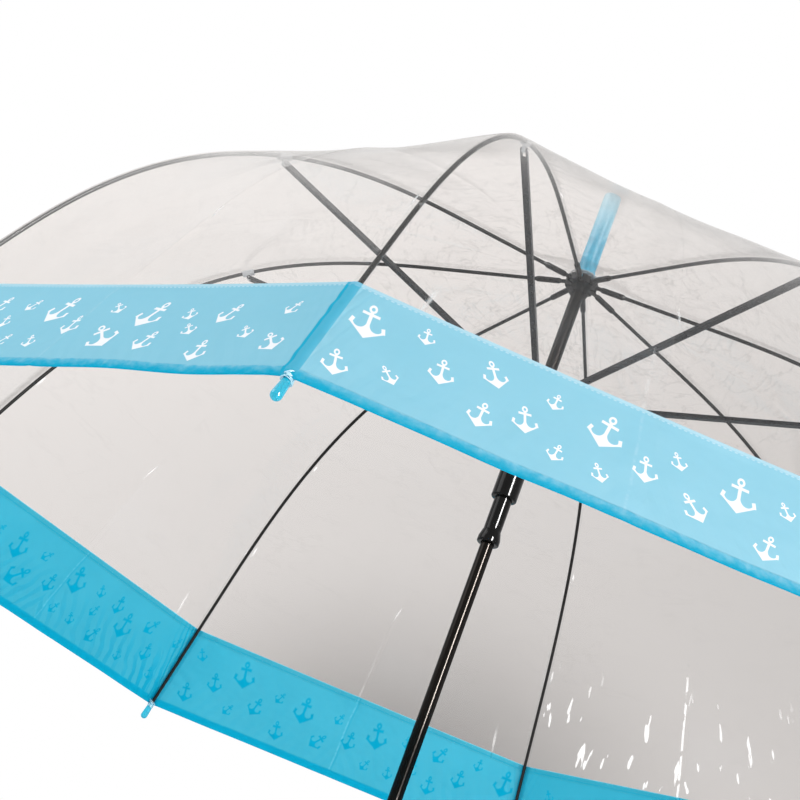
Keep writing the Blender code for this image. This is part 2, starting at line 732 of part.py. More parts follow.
def rib_azimuth(index):
    """Ribs go clockwise as seen from above, starting at -Y."""
    return -math.pi / 2 - index * RIB_TURN


def build_shaft(colors):
    add_object("shaft_tube", shaft_mesh(), colors["black_steel"])
    hub = Matrix.Translation((0, 0, HUB_HEIGHT))
    add_object("crown_notch", crown_mesh(), colors["black_plastic"], None, hub)
    add_object("crown_wire", torus_mesh(CROWN_PIVOT_RADIUS, WIRE_RADIUS), colors["steel"], None, hub)
    add_object("canopy_rosette", rosette_mesh(), colors["clear_film"], None, hub)
    add_object("ferrule", ferrule_mesh(), colors["blue_plastic"], None, hub)
    spring_top = HUB_HEIGHT - RUNNER_DROP - CROSS_PIN_DROP - CROSS_PIN_RADIUS - FIT_GAP
    spring_foot = GRIP_HALF_LENGTH - SOCKET_DEPTH + FIT_GAP
    spring = helix(SPRING_COIL_RADIUS, SPRING_WIRE_RADIUS, spring_foot, spring_top, SPRING_TURNS)
    add_object("opening_spring", spring, colors["steel"])


def build_runner(colors):
    axis = add_axis("runner_axis", None, Matrix.Translation((0, 0, HUB_HEIGHT - RUNNER_DROP)))
    add_object("runner_sleeve", runner_mesh(), colors["black_plastic"], axis)
    add_object("runner_wire", torus_mesh(RUNNER_PIVOT_RADIUS, WIRE_RADIUS), colors["steel"], axis)


def build_ribs(colors):
    rib = rib_mesh()
    bracket = bracket_mesh()
    tip = tip_mesh()
    film = film_mesh()
    band = band_mesh()
    stretcher = stretcher_mesh()
    pin_out, pin_up = bracket_pin()
    _, stretcher_slope = stretcher_line()
    for k in range(RIB_COUNT):
        number = k + 1
        turn = Matrix.Rotation(rib_azimuth(k), 4, "Z")
        pivot = Matrix.Translation((0, 0, HUB_HEIGHT)) @ turn @ Matrix.Translation((CROWN_PIVOT_RADIUS, 0, 0))
        axis = add_axis(f"rib_axis_{number}", None, pivot)
        add_object(f"rib_{number}", rib, colors["black_glassfibre"], axis)
        add_object(f"rib_bracket_{number}", bracket, colors["grey_plastic"], axis, at_rib(BRACKET_DISTANCE))
        tip_place = at_rib(RIB_LENGTH - TIP_NECK_LENGTH)
        add_object(f"rib_tip_{number}", tip, colors["blue_plastic"], axis, tip_place)
        add_object(f"film_gore_{number}", film, colors["clear_film"], axis)
        add_object(f"band_{number}", band, colors["blue_cloth"], axis)
        pin = Matrix.Translation((pin_out, 0, pin_up)) @ Matrix.Rotation(-stretcher_slope, 4, "Y")
        add_object(f"stretcher_{number}", stretcher, colors["black_steel"], axis, pin)


def build_handle(colors):
    add_object("handle_crook", crook_mesh(), colors["blue_plastic"])
    add_object("handle_collar", handle_collar_mesh(), colors["black_plastic"])
    add_object("push_button", button_mesh(), colors["blue_plastic"], None, button_frame())
    add_object("button_spring", button_spring_mesh(), colors["steel"], None, button_frame())


def main():
    clear_scene()
    colors = {
        "black_steel": make_material("black_steel", (0.020, 0.020, 0.022), 0.30, 0.6),
        "black_glassfibre": make_material("black_glassfibre", (0.035, 0.038, 0.042), 0.35),
        "black_plastic": make_material("black_plastic", (0.012, 0.012, 0.014), 0.15),
        "grey_plastic": make_material("grey_plastic", (0.45, 0.46, 0.47), 0.30),
        "blue_plastic": make_material("blue_plastic", (0.10, 0.55, 0.85), 0.20),
        "blue_cloth": make_material("blue_cloth", (0.16, 0.60, 0.85), 0.70),
        "clear_film": make_material("clear_film", (0.90, 0.91, 0.92), 0.08, 0.0, 0.25),
        "steel": make_material("steel", (0.60, 0.60, 0.62), 0.25, 1.0),
    }
    build_shaft(colors)
    build_runner(colors)
    build_ribs(colors)
    build_handle(colors)


main()
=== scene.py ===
# Clear dome umbrella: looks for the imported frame, one section for each piece.
import json
from math import cos, pi, radians, sin, tau

import bmesh
import bpy
import numpy as np
from mathutils import Matrix, Vector


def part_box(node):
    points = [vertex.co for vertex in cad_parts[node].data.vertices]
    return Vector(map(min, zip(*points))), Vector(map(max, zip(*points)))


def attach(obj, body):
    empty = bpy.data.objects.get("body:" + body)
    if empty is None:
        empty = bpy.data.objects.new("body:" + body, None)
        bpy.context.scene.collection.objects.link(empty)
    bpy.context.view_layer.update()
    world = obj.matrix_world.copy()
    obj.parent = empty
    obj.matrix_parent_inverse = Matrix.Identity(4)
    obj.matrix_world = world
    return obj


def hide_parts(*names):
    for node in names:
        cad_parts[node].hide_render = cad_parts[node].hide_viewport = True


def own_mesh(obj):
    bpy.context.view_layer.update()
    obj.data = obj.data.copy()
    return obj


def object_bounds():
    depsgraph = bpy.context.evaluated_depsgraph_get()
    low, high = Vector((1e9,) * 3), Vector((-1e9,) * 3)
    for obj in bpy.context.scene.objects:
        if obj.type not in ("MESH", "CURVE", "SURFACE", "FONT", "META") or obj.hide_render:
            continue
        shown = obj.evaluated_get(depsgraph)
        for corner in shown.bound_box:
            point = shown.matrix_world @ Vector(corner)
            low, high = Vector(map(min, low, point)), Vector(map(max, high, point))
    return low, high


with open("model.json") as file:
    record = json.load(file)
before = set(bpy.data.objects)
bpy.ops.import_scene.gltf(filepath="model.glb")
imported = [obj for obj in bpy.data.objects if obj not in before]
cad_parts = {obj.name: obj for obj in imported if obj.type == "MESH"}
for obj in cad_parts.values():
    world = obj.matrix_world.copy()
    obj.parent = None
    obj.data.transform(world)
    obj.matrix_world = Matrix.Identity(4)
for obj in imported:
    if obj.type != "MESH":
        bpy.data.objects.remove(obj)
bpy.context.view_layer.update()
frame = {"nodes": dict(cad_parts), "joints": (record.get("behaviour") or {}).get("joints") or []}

joints = {joint["name"]: joint for joint in frame["joints"]}
hubHeight = joints["rib_fold_1"]["pos_m"][2]     # height of the ribs' pivots
ribCount = 8
ribTurn = tau / ribCount
halfTurn = ribTurn / 2


# meshes from grids

def gridFaces(rows, columns, closeRows=False, closeColumns=False):
    # quads between neighbouring rows and columns of a grid of points
    i = np.arange(rows if closeRows else rows - 1)[:, None]
    j = np.arange(columns if closeColumns else columns - 1)[None, :]
    row, nextRow = i * columns, (i + 1) % rows * columns
    nextColumn = (j + 1) % columns
    corners = [row + j, row + nextColumn, nextRow + nextColumn, nextRow + j]
    return np.stack([np.broadcast_to(c, (i.size, j.size)) for c in corners], axis=-1).reshape(-1, 4)


def outward(points, quads):
    # turns the faces round if the volume that they shut in comes out negative
    p = points.reshape(-1, 3)[quads]
    volume = np.einsum("ij,ij->", p[:, 0], np.cross(p[:, 1], p[:, 2]) + np.cross(p[:, 2], p[:, 3]))
    return quads if volume > 0 else quads[:, ::-1]


def linked(name, data, sharpAngle=None):
    # puts a mesh, lamp or camera in the scene; a mesh is smooth but for edges over the sharp angle
    if sharpAngle:
        data.shade_smooth()
        data.set_sharp_from_angle(angle=radians(sharpAngle))
    item = bpy.data.objects.new(name, data)
    bpy.context.scene.collection.objects.link(item)
    return item


def closeSeams(mesh, distance):
    work = bmesh.new()
    work.from_mesh(mesh)
    bmesh.ops.remove_doubles(work, verts=work.verts, dist=distance)
    bmesh.ops.dissolve_degenerate(work, edges=work.edges, dist=distance / 2)
    work.to_mesh(mesh)
    work.free()


def newObject(name, points, quads, sharpAngle=40, weld=True):
    mesh = bpy.data.meshes.new(name)
    mesh.from_pydata(points.reshape(-1, 3).tolist(), [], quads.tolist())
    if weld:                                    # closes poles, where a whole ring meets in one point
        closeSeams(mesh, 2e-6)
    return linked(name, mesh, sharpAngle)


def frameAlong(origin, along, across):
    # matrix at the origin whose Z runs along and whose Y runs across
    turn = Matrix((across.cross(along), across, along)).transposed().to_4x4()
    return Matrix.Translation(origin) @ turn


def placed(points, matrix):
    m = np.array(matrix)
    return points @ m[:3, :3].T + m[:3, 3]


def closedPiece(name, grid, sharpAngle=50, closeRows=False):
    # a grid whose columns run round and meet; its rows meet too, or shrink to a point at both ends
    quads = gridFaces(*grid.shape[:2], closeRows, True)
    return newObject(name, grid, outward(grid, quads), sharpAngle)


def ringGrid(radius, angle, height):
    # points from their radii, angles and heights round the Z axis
    return np.stack([radius * np.cos(angle), radius * np.sin(angle), height + 0 * radius * angle], axis=-1)


def turnedPiece(name, profile, matrix=Matrix(), steps=64, sharpAngle=40):
    # a closed profile of (radius, height) pairs carried once round the Z axis
    radius, height = np.array(profile, float).T[:, :, None]
    angle = np.arange(steps) * tau / steps
    return closedPiece(name, placed(ringGrid(radius, angle, height), matrix), sharpAngle, closeRows=True)


def unit(vectors):
    return vectors / np.linalg.norm(vectors, axis=-1, keepdims=True)


def arcProfile(radius, height, bend, start, end, steps):
    # points on an arc round a centre in (radius, height), from one angle in degrees to another
    a = np.radians(np.linspace(start, end, steps))
    return [(radius + bend * c, height + bend * s) for c, s in zip(np.cos(a), np.sin(a))]


def tubeRings(centres, first, second, radii, sides):
    # a round or oval section carried along a path; first and second are the directions of its two radii
    angle = np.arange(sides) * tau / sides
    wide, high = (radii if radii.ndim == 2 else np.stack([radii, radii], axis=1)).T[:, :, None, None]
    return (centres[:, None] + wide * np.cos(angle)[:, None] * first[..., None, :]
            + high * np.sin(angle)[:, None] * second[:, None])


def smoothCopy(name, node):
    # a merged copy of a CAD node, shaded smooth where its facets stand for a curve
    mesh = frame["nodes"][node].data.copy()
    mesh.name = name
    closeSeams(mesh, 1e-6)
    mesh.materials.clear()
    if "custom_normal" in mesh.attributes:
        mesh.attributes.remove(mesh.attributes["custom_normal"])
    return linked(name, mesh, 32)


def fit(item, material, body, slot, *nodes):
    # gives a finished piece its material and body, and hides the nodes that it stands for
    item.data.materials.clear()
    item.data.materials.append(material)
    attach(item, body)
    if nodes:
        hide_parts(*nodes)


# shader sums

class Term:
    # a socket that can be added, multiplied and so on; each operator adds a Math node
    def __init__(self, paint, socket):
        self.paint = paint
        self.socket = socket

    def operator(operation, swap=False):
        def joined(self, other=None):
            sockets = {0: other, 1: self} if swap else {0: self, 1: other}
            return self.paint.node("Math", sockets, operation=operation)["Value"]
        return joined

    __add__ = __radd__ = operator("ADD")
    __sub__ = operator("SUBTRACT")
    __rsub__ = operator("SUBTRACT", True)
    __mul__ = __rmul__ = operator("MULTIPLY")
    __truediv__ = operator("DIVIDE")
    __rtruediv__ = operator("DIVIDE", True)
    __pow__ = operator("POWER")
    __abs__ = operator("ABSOLUTE")
    smaller = operator("MINIMUM")
    larger = operator("MAXIMUM")
    sine = operator("SINE")
    root = operator("SQRT")

    def step(self, low, high):
        # 0 below low, 1 above high and smooth between; high may be the lower one
        sockets = {0: self, 1: min(low, high), 2: max(low, high), 3: float(low > high), 4: float(low < high)}
        return self.paint.node("MapRange", sockets, interpolation_type="SMOOTHSTEP")["Result"]


class Paint:
    # one material, or the world; node() adds any node and gives back its outputs by name
    def __init__(self, name, owner=None):
        self.material = owner or bpy.data.materials.new(name)
        self.material.use_nodes = True
        self.tree = self.material.node_tree
        self.tree.nodes.clear()

    def put(self, socket, value):
        if value is None:
            return
        if isinstance(value, Term):
            self.tree.links.new(value.socket, socket)
        elif isinstance(value, (tuple, list)):
            socket.default_value = (*value, 1) if len(value) == 3 and socket.type == "RGBA" else value
        else:
            socket.default_value = value

    def node(self, kind, sockets=None, **settings):
        node = self.tree.nodes.new("ShaderNode" + kind)
        for key, value in settings.items():
            setattr(node, key, value)
        for key, value in (sockets or {}).items():
            self.put(node.inputs[key], value)
        return {output.name: Term(self, output) for output in node.outputs if output.enabled}

    def place(self):
        return self.node("TexCoord")["Object"]

    def parts(self, vector):
        return self.node("SeparateXYZ", {0: vector})

    def chart(self, name):
        # a UV map and its two numbers
        vector = self.node("UVMap", uv_map=name)["UV"]
        parts = self.parts(vector)
        return vector, parts["X"], parts["Y"]

    def dot(self, vector, other):
        return self.node("VectorMath", {0: vector, 1: other}, operation="DOT_PRODUCT")["Value"]

    def attribute(self, name):
        return self.node("Attribute", attribute_name=name)["Fac"]

    def noise(self, vector, scale, detail=2, roughness=0.5, stretch=None):
        # scale counts the noise's waves in a metre; stretch multiplies it in X and Y, or in all three
        if stretch:
            stretch = (*stretch, 1)[:3]
            vector = self.node("Mapping", {"Vector": vector, "Scale": stretch})["Vector"]
        sockets = {"Vector": vector, "Scale": scale, "Detail": detail, "Roughness": roughness}
        return self.node("TexNoise", sockets)["Fac"]

    def mixed(self, share, a, b):
        # a colour between a and b
        return self.node("Mix", {0: share, 6: a, 7: b}, data_type="RGBA")["Result"]

    def bumped(self, height, distance, strength=1, normal=None):
        sockets = {"Height": height, "Distance": distance, "Strength": strength, "Normal": normal}
        return self.node("Bump", sockets)["Normal"]

    def blended(self, share, a, b):
        return self.node("MixShader", {0: share, 1: a, 2: b})["Shader"]

    def simple(self, kind, color, **more):
        # a see-through, mirrored or matt share of one colour
        return self.node("Bsdf" + kind, {"Color": color, **more})["BSDF"]

    def principled(self, **sockets):
        named = {key.replace("_", " "): value for key, value in sockets.items()}
        return self.node("BsdfPrincipled", named)["BSDF"]

    def done(self, surface):
        self.node("OutputMaterial", {"Surface": surface})
        return self.material


# plain finishes

def glossPaint(name, color, roughness, ior=1.45, metallic=0, scratch=0.05, grain=(1, 1, 1), coat=0,
               mirror=(1, 1, 1)):
    # a moulded or lacquered finish: fine handling marks in the gloss and a faint unevenness in the surface
    paint = Paint(name)
    place = paint.place()
    marks = paint.noise(place, 420, 4, 0.6, grain)
    cloud = paint.noise(place, 60)
    rough = roughness + (marks - 0.5) * scratch + (cloud - 0.5) * scratch
    tone = paint.mixed((cloud - 0.5) * 0.5 + 0.5, [c * 0.88 for c in color], [c * 1.1 for c in color])
    normal = paint.bumped(marks, 0.00002, 0.5)
    gloss = paint.principled(Base_Color=tone, Roughness=rough, Metallic=metallic, IOR=ior, Normal=normal,
                             Coat_Weight=coat, Coat_Roughness=0.05, Specular_Tint=mirror)
    return paint.done(gloss)


blackLacquer = glossPaint("blackLacquer", (0.004, 0.0036, 0.0032), 0.15, 1.2, scratch=0.04,
                          grain=(1, 1, 0.15), mirror=(0.98, 0.86, 0.78))
blackPressed = glossPaint("blackPressed", (0.007, 0.0075, 0.009), 0.28, 1.25, scratch=0.1)
blackRod = glossPaint("blackRod", (0.009, 0.0085, 0.008), 0.32, 1.26, scratch=0.08)
blackMoulded = glossPaint("blackMoulded", (0.004, 0.004, 0.004), 0.13, 1.22, scratch=0.04)
greyMoulded = glossPaint("greyMoulded", (0.4, 0.41, 0.42), 0.34, 1.45, scratch=0.08)
blueMoulded = glossPaint("blueMoulded", (0.006, 0.415, 0.59), 0.16, 1.4, scratch=0.05, coat=0.3)
springSteel = glossPaint("springSteel", (0.56, 0.56, 0.58), 0.26, 1.45, metallic=1, scratch=0.1)
threadPale = glossPaint("threadPale", (0.44, 0.74, 0.86), 0.42, 1.45, scratch=0.05)
print("plain finishes ready")


# the ribs' curve

ribShape = dict(length=0.6, pivotRadius=0.01, slopeStart=0.14, slopeGain=0.99, bendFrom=0.15, bendSpan=0.67,
                rodRadius=0.0014)
ribLength = ribShape["length"]
fineAlong = np.linspace(0, ribLength + 0.02, 2481)


def slopeAt(along):
    # angle below level: a smooth step between the crown and the hem
    t = np.clip((along / ribLength - ribShape["bendFrom"]) / ribShape["bendSpan"], 0, 1)
    return ribShape["slopeStart"] + ribShape["slopeGain"] * t * t * (3 - 2 * t)


def summed(values):
    # running integral along the rib by the trapezium rule
    step = fineAlong[1] - fineAlong[0]
    return np.concatenate([[0], np.cumsum((values[1:] + values[:-1]) / 2 * step)])


fineOut = summed(np.cos(slopeAt(fineAlong)))
fineUp = -summed(np.sin(slopeAt(fineAlong)))


def ribAt(along):
    # distance from the shaft's axis, height above the crown's pivots, and slope, at a length along the rib
    along = np.asarray(along, float)
    slope = slopeAt(along)
    out = np.where(along < 0, along * np.cos(slope), np.interp(along, fineAlong, fineOut))
    up = np.where(along < 0, -along * np.sin(slope), np.interp(along, fineAlong, fineUp))
    return ribShape["pivotRadius"] + out, up, slope


def halfWidth(along):
    # half of the distance between two ribs
    return ribAt(along)[0] * sin(halfTurn)


def ribAngle(rib):
    # the first rib points towards -Y, and the others follow it clockwise seen from above
    return -pi / 2 - rib * ribTurn


def ribMatrix(rib, along):
    # a frame on the rib, with Z along it towards the hem and Y across it
    radius, up, slope = (float(v) for v in ribAt(along))
    angle = ribAngle(rib)
    c, s = cos(angle), sin(angle)
    direction = Vector((cos(slope) * c, cos(slope) * s, -sin(slope)))
    return frameAlong((radius * c, radius * s, hubHeight + up), direction, Vector((-s, c, 0)))


# canopy

# for each gore: the storage crease's place beside the middle line, how much the band is gathered, and how
# much the film glints above the band
goreCrease = (0, 0.004, -0.006, 0.003, 0.005, -0.004, 0.002, -0.009)
goreGather = (0.45, 0.4, 1, 0.25, 0.6, 0.4, 0.5, 0.3)
goreGlint = (0, 0, 0.05, 0.1, 1, 0.7, 0.1, 0.1)
canopy = dict(clearance=0.0017, sag=0.0042, ridge=0.0016, filmEnd=0.527, filmFlat=0.535, filmThick=0.0004,
              tuckFrom=0.512, bandTop=0.521, bandFlat=0.0875, clothThick=0.0004, lapGap=0.0003,
              hemWidth=0.0072, hemExtra=0.00045, hemArch=0.0006, seamExtra=0.0003, seamHalf=0.0021,
              weldShare=1.02, holeRadius=0.007, crownRise=0.0034, crownRiseLength=0.045, keep=0.14)
# least and most are the limits of the waves' directions, lengths, phases and sizes
reliefPlan = dict(seed=7, waves=7, least=(-0.9, 0.05, 0, 0.5), most=(0.9, 0.16, tau, 1),
                  waveHeight=0.0003, seamFade=0.02, creaseHeight=0.0005, creaseWidth=0.003,
                  filmPucker=(0.011, 0.00022), bandPucker=(0.013, 0.00045), beat=0.047)


def goreRelief(gore, across, along, width):
    # Height of one gore over its plain curve: soft waves of random length, direction and phase that fade at
    # the seams, and a storage crease down the middle that is full 0.15 m from the crown. across runs from the
    # gore's first rib to its second, and width is half of the gore's width at that length.
    plan = reliefPlan
    rng = np.random.default_rng(plan["seed"] + gore)
    least, most = (np.array(plan[key])[:, None] for key in ("least", "most"))
    draws = rng.uniform(least, most, (len(least), plan["waves"]))
    relief = np.zeros_like(across)
    for angle, length, phase, size in draws.T:
        run = along * sin(angle) + (across - width) * cos(angle)
        relief += size * np.sin(tau * run / length + phase)
    fromSeam = np.minimum(across, 2 * width - across)
    relief *= plan["waveHeight"] * (1 - np.exp(-np.clip(fromSeam, 0, None) / plan["seamFade"]))
    crease = np.exp(-np.abs(across - width + goreCrease[gore]) / plan["creaseWidth"])
    return relief + plan["creaseHeight"] * crease * np.clip(along / 0.15, 0, 1)


def puckers(gore, across, along, width, spacing, depth):
    # small folds that lean off each seam: they rise over 1.6 mm and die away over 6 to 18 mm, by turns
    rng = np.random.default_rng(reliefPlan["seed"] * 31 + gore)
    relief = np.zeros_like(across)
    for fromSeam in (across, 2 * width - across):
        lean = rng.uniform(0.25, 0.7)
        drift = rng.uniform(0, tau)
        beat = 0.5 + 0.5 * np.sin(along * tau / reliefPlan["beat"] + drift)
        reach = 0.006 + 0.012 * beat
        fade = np.exp(-fromSeam / reach) * (1 - np.exp(-np.clip(fromSeam, 0, None) / 0.0016))
        relief += depth * beat * fade * np.sin(tau * (along - lean * fromSeam) / spacing + drift)
    return relief


def stripRelief(rib, along, share, pucker):
    # relief of the two gores beside a rib; the one with the rib's own number lies where share is below zero
    width = halfWidth(along)
    own = share < 0
    across = np.where(own, -share * width, 2 * width - share * width)
    both = [goreRelief(gore, across, along, width) + puckers(gore, across, along, width, *pucker)
            for gore in (rib, (rib - 1) % ribCount)]
    return np.where(own, *both)


def sheetSurface(rib, along, share, height, relief):
    # A point on the canopy beside one rib. along is the length from the crown pivot; share goes from -1 at
    # one middle line through 0 on the rib to 1 at the next. Each side is the flat triangle between two
    # ribs, lifted by height square to itself, sagging between the ribs and rolled smoothly over the rib.
    side = np.where(share < 0, -1, 1)
    part = np.abs(share)
    radius, up, slope = ribAt(along)
    fromRib = part * halfWidth(along)
    fromMiddle = halfWidth(along) - fromRib
    # directions in the rib's frame: x out along the rib, y across it, z up
    turn = side * halfTurn
    faceOut, faceUp = np.sin(slope), np.cos(slope) * cos(halfTurn)
    face = np.stack([faceOut * np.cos(turn), faceOut * np.sin(turn), faceUp]) / np.hypot(faceOut, faceUp)
    ridge = np.stack([np.sin(slope), 0 * slope, np.cos(slope)])
    roll = np.clip(fromRib / canopy["ridge"], 0, 1)
    roll = roll * roll * (3 - 2 * roll)
    normal = ridge * (1 - roll) + face * roll
    normal /= np.linalg.norm(normal, axis=0)
    middle = radius * cos(halfTurn)
    flat = np.stack([middle * np.cos(turn) + fromMiddle * np.sin(turn) * side,
                     middle * np.sin(turn) - fromMiddle * np.cos(turn) * side, up])
    # the sag grows over the first 0.3 m and shrinks again over the last
    slack = np.clip(along / 0.3, 0, 1) * np.clip((0.64 - along) / 0.3, 0.25, 1)
    lift = height + relief - canopy["sag"] * slack * (1 - (1 - part) ** 2)
    x, y, z = flat + normal * lift
    c, s = cos(ribAngle(rib)), sin(ribAngle(rib))
    return np.stack([c * x - s * y, s * x + c * y, z + hubHeight], axis=-1)


def shellMesh(name, outer, inner, chart, prints=None):
    # a closed thin shell from its two grids, with a UV chart in metres and the side of each face
    rows, columns = outer.shape[:2]
    count = rows * columns
    points = np.concatenate([outer.reshape(-1, 3), inner.reshape(-1, 3)])
    top = gridFaces(rows, columns)
    index = np.arange(count).reshape(rows, columns)
    loop = np.concatenate([index[0, :-1], index[:-1, -1], index[-1, :0:-1], index[:0:-1, 0]])
    after = np.roll(loop, -1)
    rim = np.stack([after, loop, loop + count, after + count], axis=1)
    quads = outward(points, np.concatenate([top, top[:, ::-1] + count, rim]))
    item = newObject(name, points, quads, sharpAngle=60, weld=False)
    sheetUv = np.tile(chart.reshape(-1, 2), (2, 1))
    for name, uv in (("sheet", sheetUv[quads]), ("print", prints and prints(quads, sheetUv))):
        if uv is not None:
            layer = item.data.uv_layers.new(name=name)
            layer.data.foreach_set("uv", uv.astype(np.float32).ravel())
    setMark(item, "outerSide", np.repeat([1, 0, 0.5], [len(top), len(top), len(rim)]), "FACE")
    return item


def setMark(item, name, values, domain="POINT"):
    # one number for each face, or for each point, the same on both skins of a shell
    mark = item.data.attributes.new(name, "FLOAT", domain)
    values = np.tile(values.ravel(), 2) if domain == "POINT" else values
    mark.data.foreach_set("value", values.astype(np.float32))


def flatArea(grid):
    # area of a sheet: half of the cross product of each quad's diagonals
    diagonals = grid[1:, 1:] - grid[:-1, :-1], grid[1:, :-1] - grid[:-1, 1:]
    return float(np.linalg.norm(np.cross(*diagonals), axis=-1).sum() / 2)


def stripGrid(rows, end, fine, coarse, reach):
    # lengths along a strip and shares across it, which stand closer beside the rib
    width = halfWidth(end)
    marks = [0]
    while marks[-1] < width:
        marks.append(marks[-1] + fine + (coarse - fine) * min(marks[-1] / reach, 1))
    share = np.array(marks) / marks[-1]
    return np.meshgrid(rows, np.concatenate([-share[:0:-1], share]), indexing="ij")


def stripMesh(name, rib, along, bent, share, height, thick, relief, prints=None):
    # both skins of a strip, and its area; along is measured on the sheet and bent on the rib's curve
    inner = sheetSurface(rib, bent, share, height, relief)
    outer = sheetSurface(rib, bent, share, height + thick, relief)
    width = halfWidth(bent)
    item = shellMesh(name, outer, inner, np.stack([share * width, along], axis=-1), prints)
    fromMiddle = (1 - np.abs(share)) * width
    fromCrease = np.where(share < 0, fromMiddle - goreCrease[rib], -fromMiddle - goreCrease[rib - 1])
    setMark(item, "fromCrease", fromCrease)
    return item, flatArea((outer + inner) / 2)


# clear film

# Thin clear plastic: nearly all see-through, slightly milky in smears, with fine dark creases, a gloss that
# breaks up on the pulled film, a double layer at the seams, short painted white highlights beside the ribs
# and in scattered strokes, and painted white glints above the band and down the storage crease.
filmLook = dict(clearTint=(0.986, 0.982, 0.979), creaseTint=(0.86, 0.855, 0.85), milkTint=(0.86, 0.91, 0.96),
                rubTint=(0.98, 0.97, 0.96), mirrorTint=(0.82, 0.805, 0.795), mirrorBlur=0.13, mirrorIor=1.22,
                ripple=0.0022, milk=0.008, smear=0.03, seamMilk=0.012, stitchMilk=0.03, creases=0.45,
                pleats=1.9, rub=0.9)
look = filmLook
paint = Paint("clearFilm")
chart, across, along = paint.chart("sheet")
side = abs(across)
pulled = paint.noise(chart, 26, 3, 0.55, (1, 0.16))
wavy = paint.noise(chart, 14, 2, 0.5, (0.55, 1))
fine = paint.noise(chart, 120, 2, 0.5, (1, 0.25))
normal = paint.bumped(pulled * 0.7 + wavy * 0.8 + fine * 0.08, look["ripple"], 0.55)
free = along.step(0.5222, 0.52)                      # the lapped end shows nothing of its own
seam = side.step(0.003, 0.0022)
stitch = abs(side - 0.0022).step(0.0005, 0.0002)
cloud = paint.noise(chart, 9)
crease = abs(paint.noise(chart, 21, 4, 0.62, (0.5, 1.5)) - 0.5).step(0.016, 0)
crease = crease * (along.step(0.34, 0.14) * 1.1 + 0.35)
pleat = abs(paint.noise(chart, 34, 3, 0.6, (1.6, 0.35)) - 0.5).step(0.02, 0)
pleat = pleat * along.step(0.22, 0.03)
# painted highlights: short white streaks beside the ribs, scattered strokes, and glints above the band and
# along the storage crease
ribHighlight = paint.noise(chart, 150, 3, 0.6, (1, 0.14)).step(0.58, 0.64)
patch = paint.noise(chart, 11, 2, 0.5, (0.6, 1)).step(0.52, 0.62)
glare = (paint.noise(chart, 100, 2, 0.5, (1, 0.09)).step(0.64, 0.7)
         * paint.noise(chart, 7, 2, 0.5, (1, 0.8)).step(0.58, 0.66))
streak = (ribHighlight * patch * side.step(0.009, 0.003)).larger(glare * 0.7)
glints = paint.attribute("glints")
spark = paint.noise(chart, 120, 2, 0.5, (1, 0.24)) + glints * 0.06 + patch * 0.015
spark = spark.step(0.69, 0.715) * glints.step(0.15, 0.7) * free
bent = abs(paint.attribute("fromCrease") + (wavy - 0.5) * 0.004).step(0.0013, 0.0006) * free
bent = bent * paint.noise(chart, 70, 3, 0.6).step(0.42, 0.52) * glints.step(0.02, 0.4)
streak = streak.larger(spark).larger(bent)
smear = paint.noise(chart, 6, 3, 0.5, (0.3, 1)).step(0.48, 0.72)
haze = look["milk"] + (cloud - 0.5) * look["milk"] + smear * look["smear"] + seam * look["seamMilk"]
haze = (haze + stitch * look["stitchMilk"]) * free
dark = ((crease + pleat * look["pleats"]) * cloud * look["creases"] + seam * 0.12) * free
clear, creased = (paint.simple("Transparent", look[tint]) for tint in ("clearTint", "creaseTint"))
milk, rub = (paint.simple("Translucent", look[tint], Normal=normal) for tint in ("milkTint", "rubTint"))
body = paint.blended(haze, paint.blended(dark, clear, creased), milk)
# the painted highlights go on as a white glow that lets light through
body = paint.blended(streak * look["rub"], body, rub)
behind = paint.node("NewGeometry")["Backfacing"]      # both faces of the film mirror alike
shine = paint.node("Fresnel", {"IOR": look["mirrorIor"] - behind * 0.4, "Normal": normal})
gloss = paint.simple("Glossy", look["mirrorTint"], Roughness=look["mirrorBlur"], Normal=normal)
clearFilm = paint.done(paint.blended(shine["Fac"] * (free * 0.9 + 0.1), body, gloss))


def buildFilm(rib):
    # the film strip, from the hole at the crown to its end under the band
    end, rise = canopy["filmEnd"], canopy["crownRiseLength"]
    rows = np.concatenate([np.linspace(0, rise, 22)[:-1], np.linspace(rise, end, 170)])
    start = canopy["holeRadius"] / cos(halfTurn) - ribShape["pivotRadius"]
    along, share = stripGrid(start + rows / end * (end - start), end, 0.0012, 0.0065, 0.03)
    relief = stripRelief(rib, along, share, reliefPlan["filmPucker"]) * np.clip(along / 0.06, 0, 1)
    relief *= 1 - np.clip((along - canopy["tuckFrom"]) / 0.015, 0, 1)          # it lies flat under the band
    near = np.clip(along / rise, 0, 1)
    height = canopy["clearance"] + canopy["crownRise"] * (1 - near * near * (3 - 2 * near))
    thick = canopy["filmThick"]
    item, area = stripMesh(f"filmStrip_{rib + 1}", rib, along, along, share, height, thick, relief)
    # glints begin 0.4 m from the crown and are strongest at the band
    glints = np.where(share < 0, goreGlint[rib], goreGlint[rib - 1]) * np.clip((along - 0.4) / 0.11, 0, 1)
    setMark(item, "glints", glints)
    fit(item, clearFilm, f"rib_frame_{rib + 1}", "clear_film", f"film_gore_{rib + 1}")
    return item, (2 * halfWidth(end) * canopy["weldShare"], canopy["filmFlat"]), area


# printed band

anchorSizes = dict(L=0.0247, M=0.0176, S=0.0119, width=0.7)

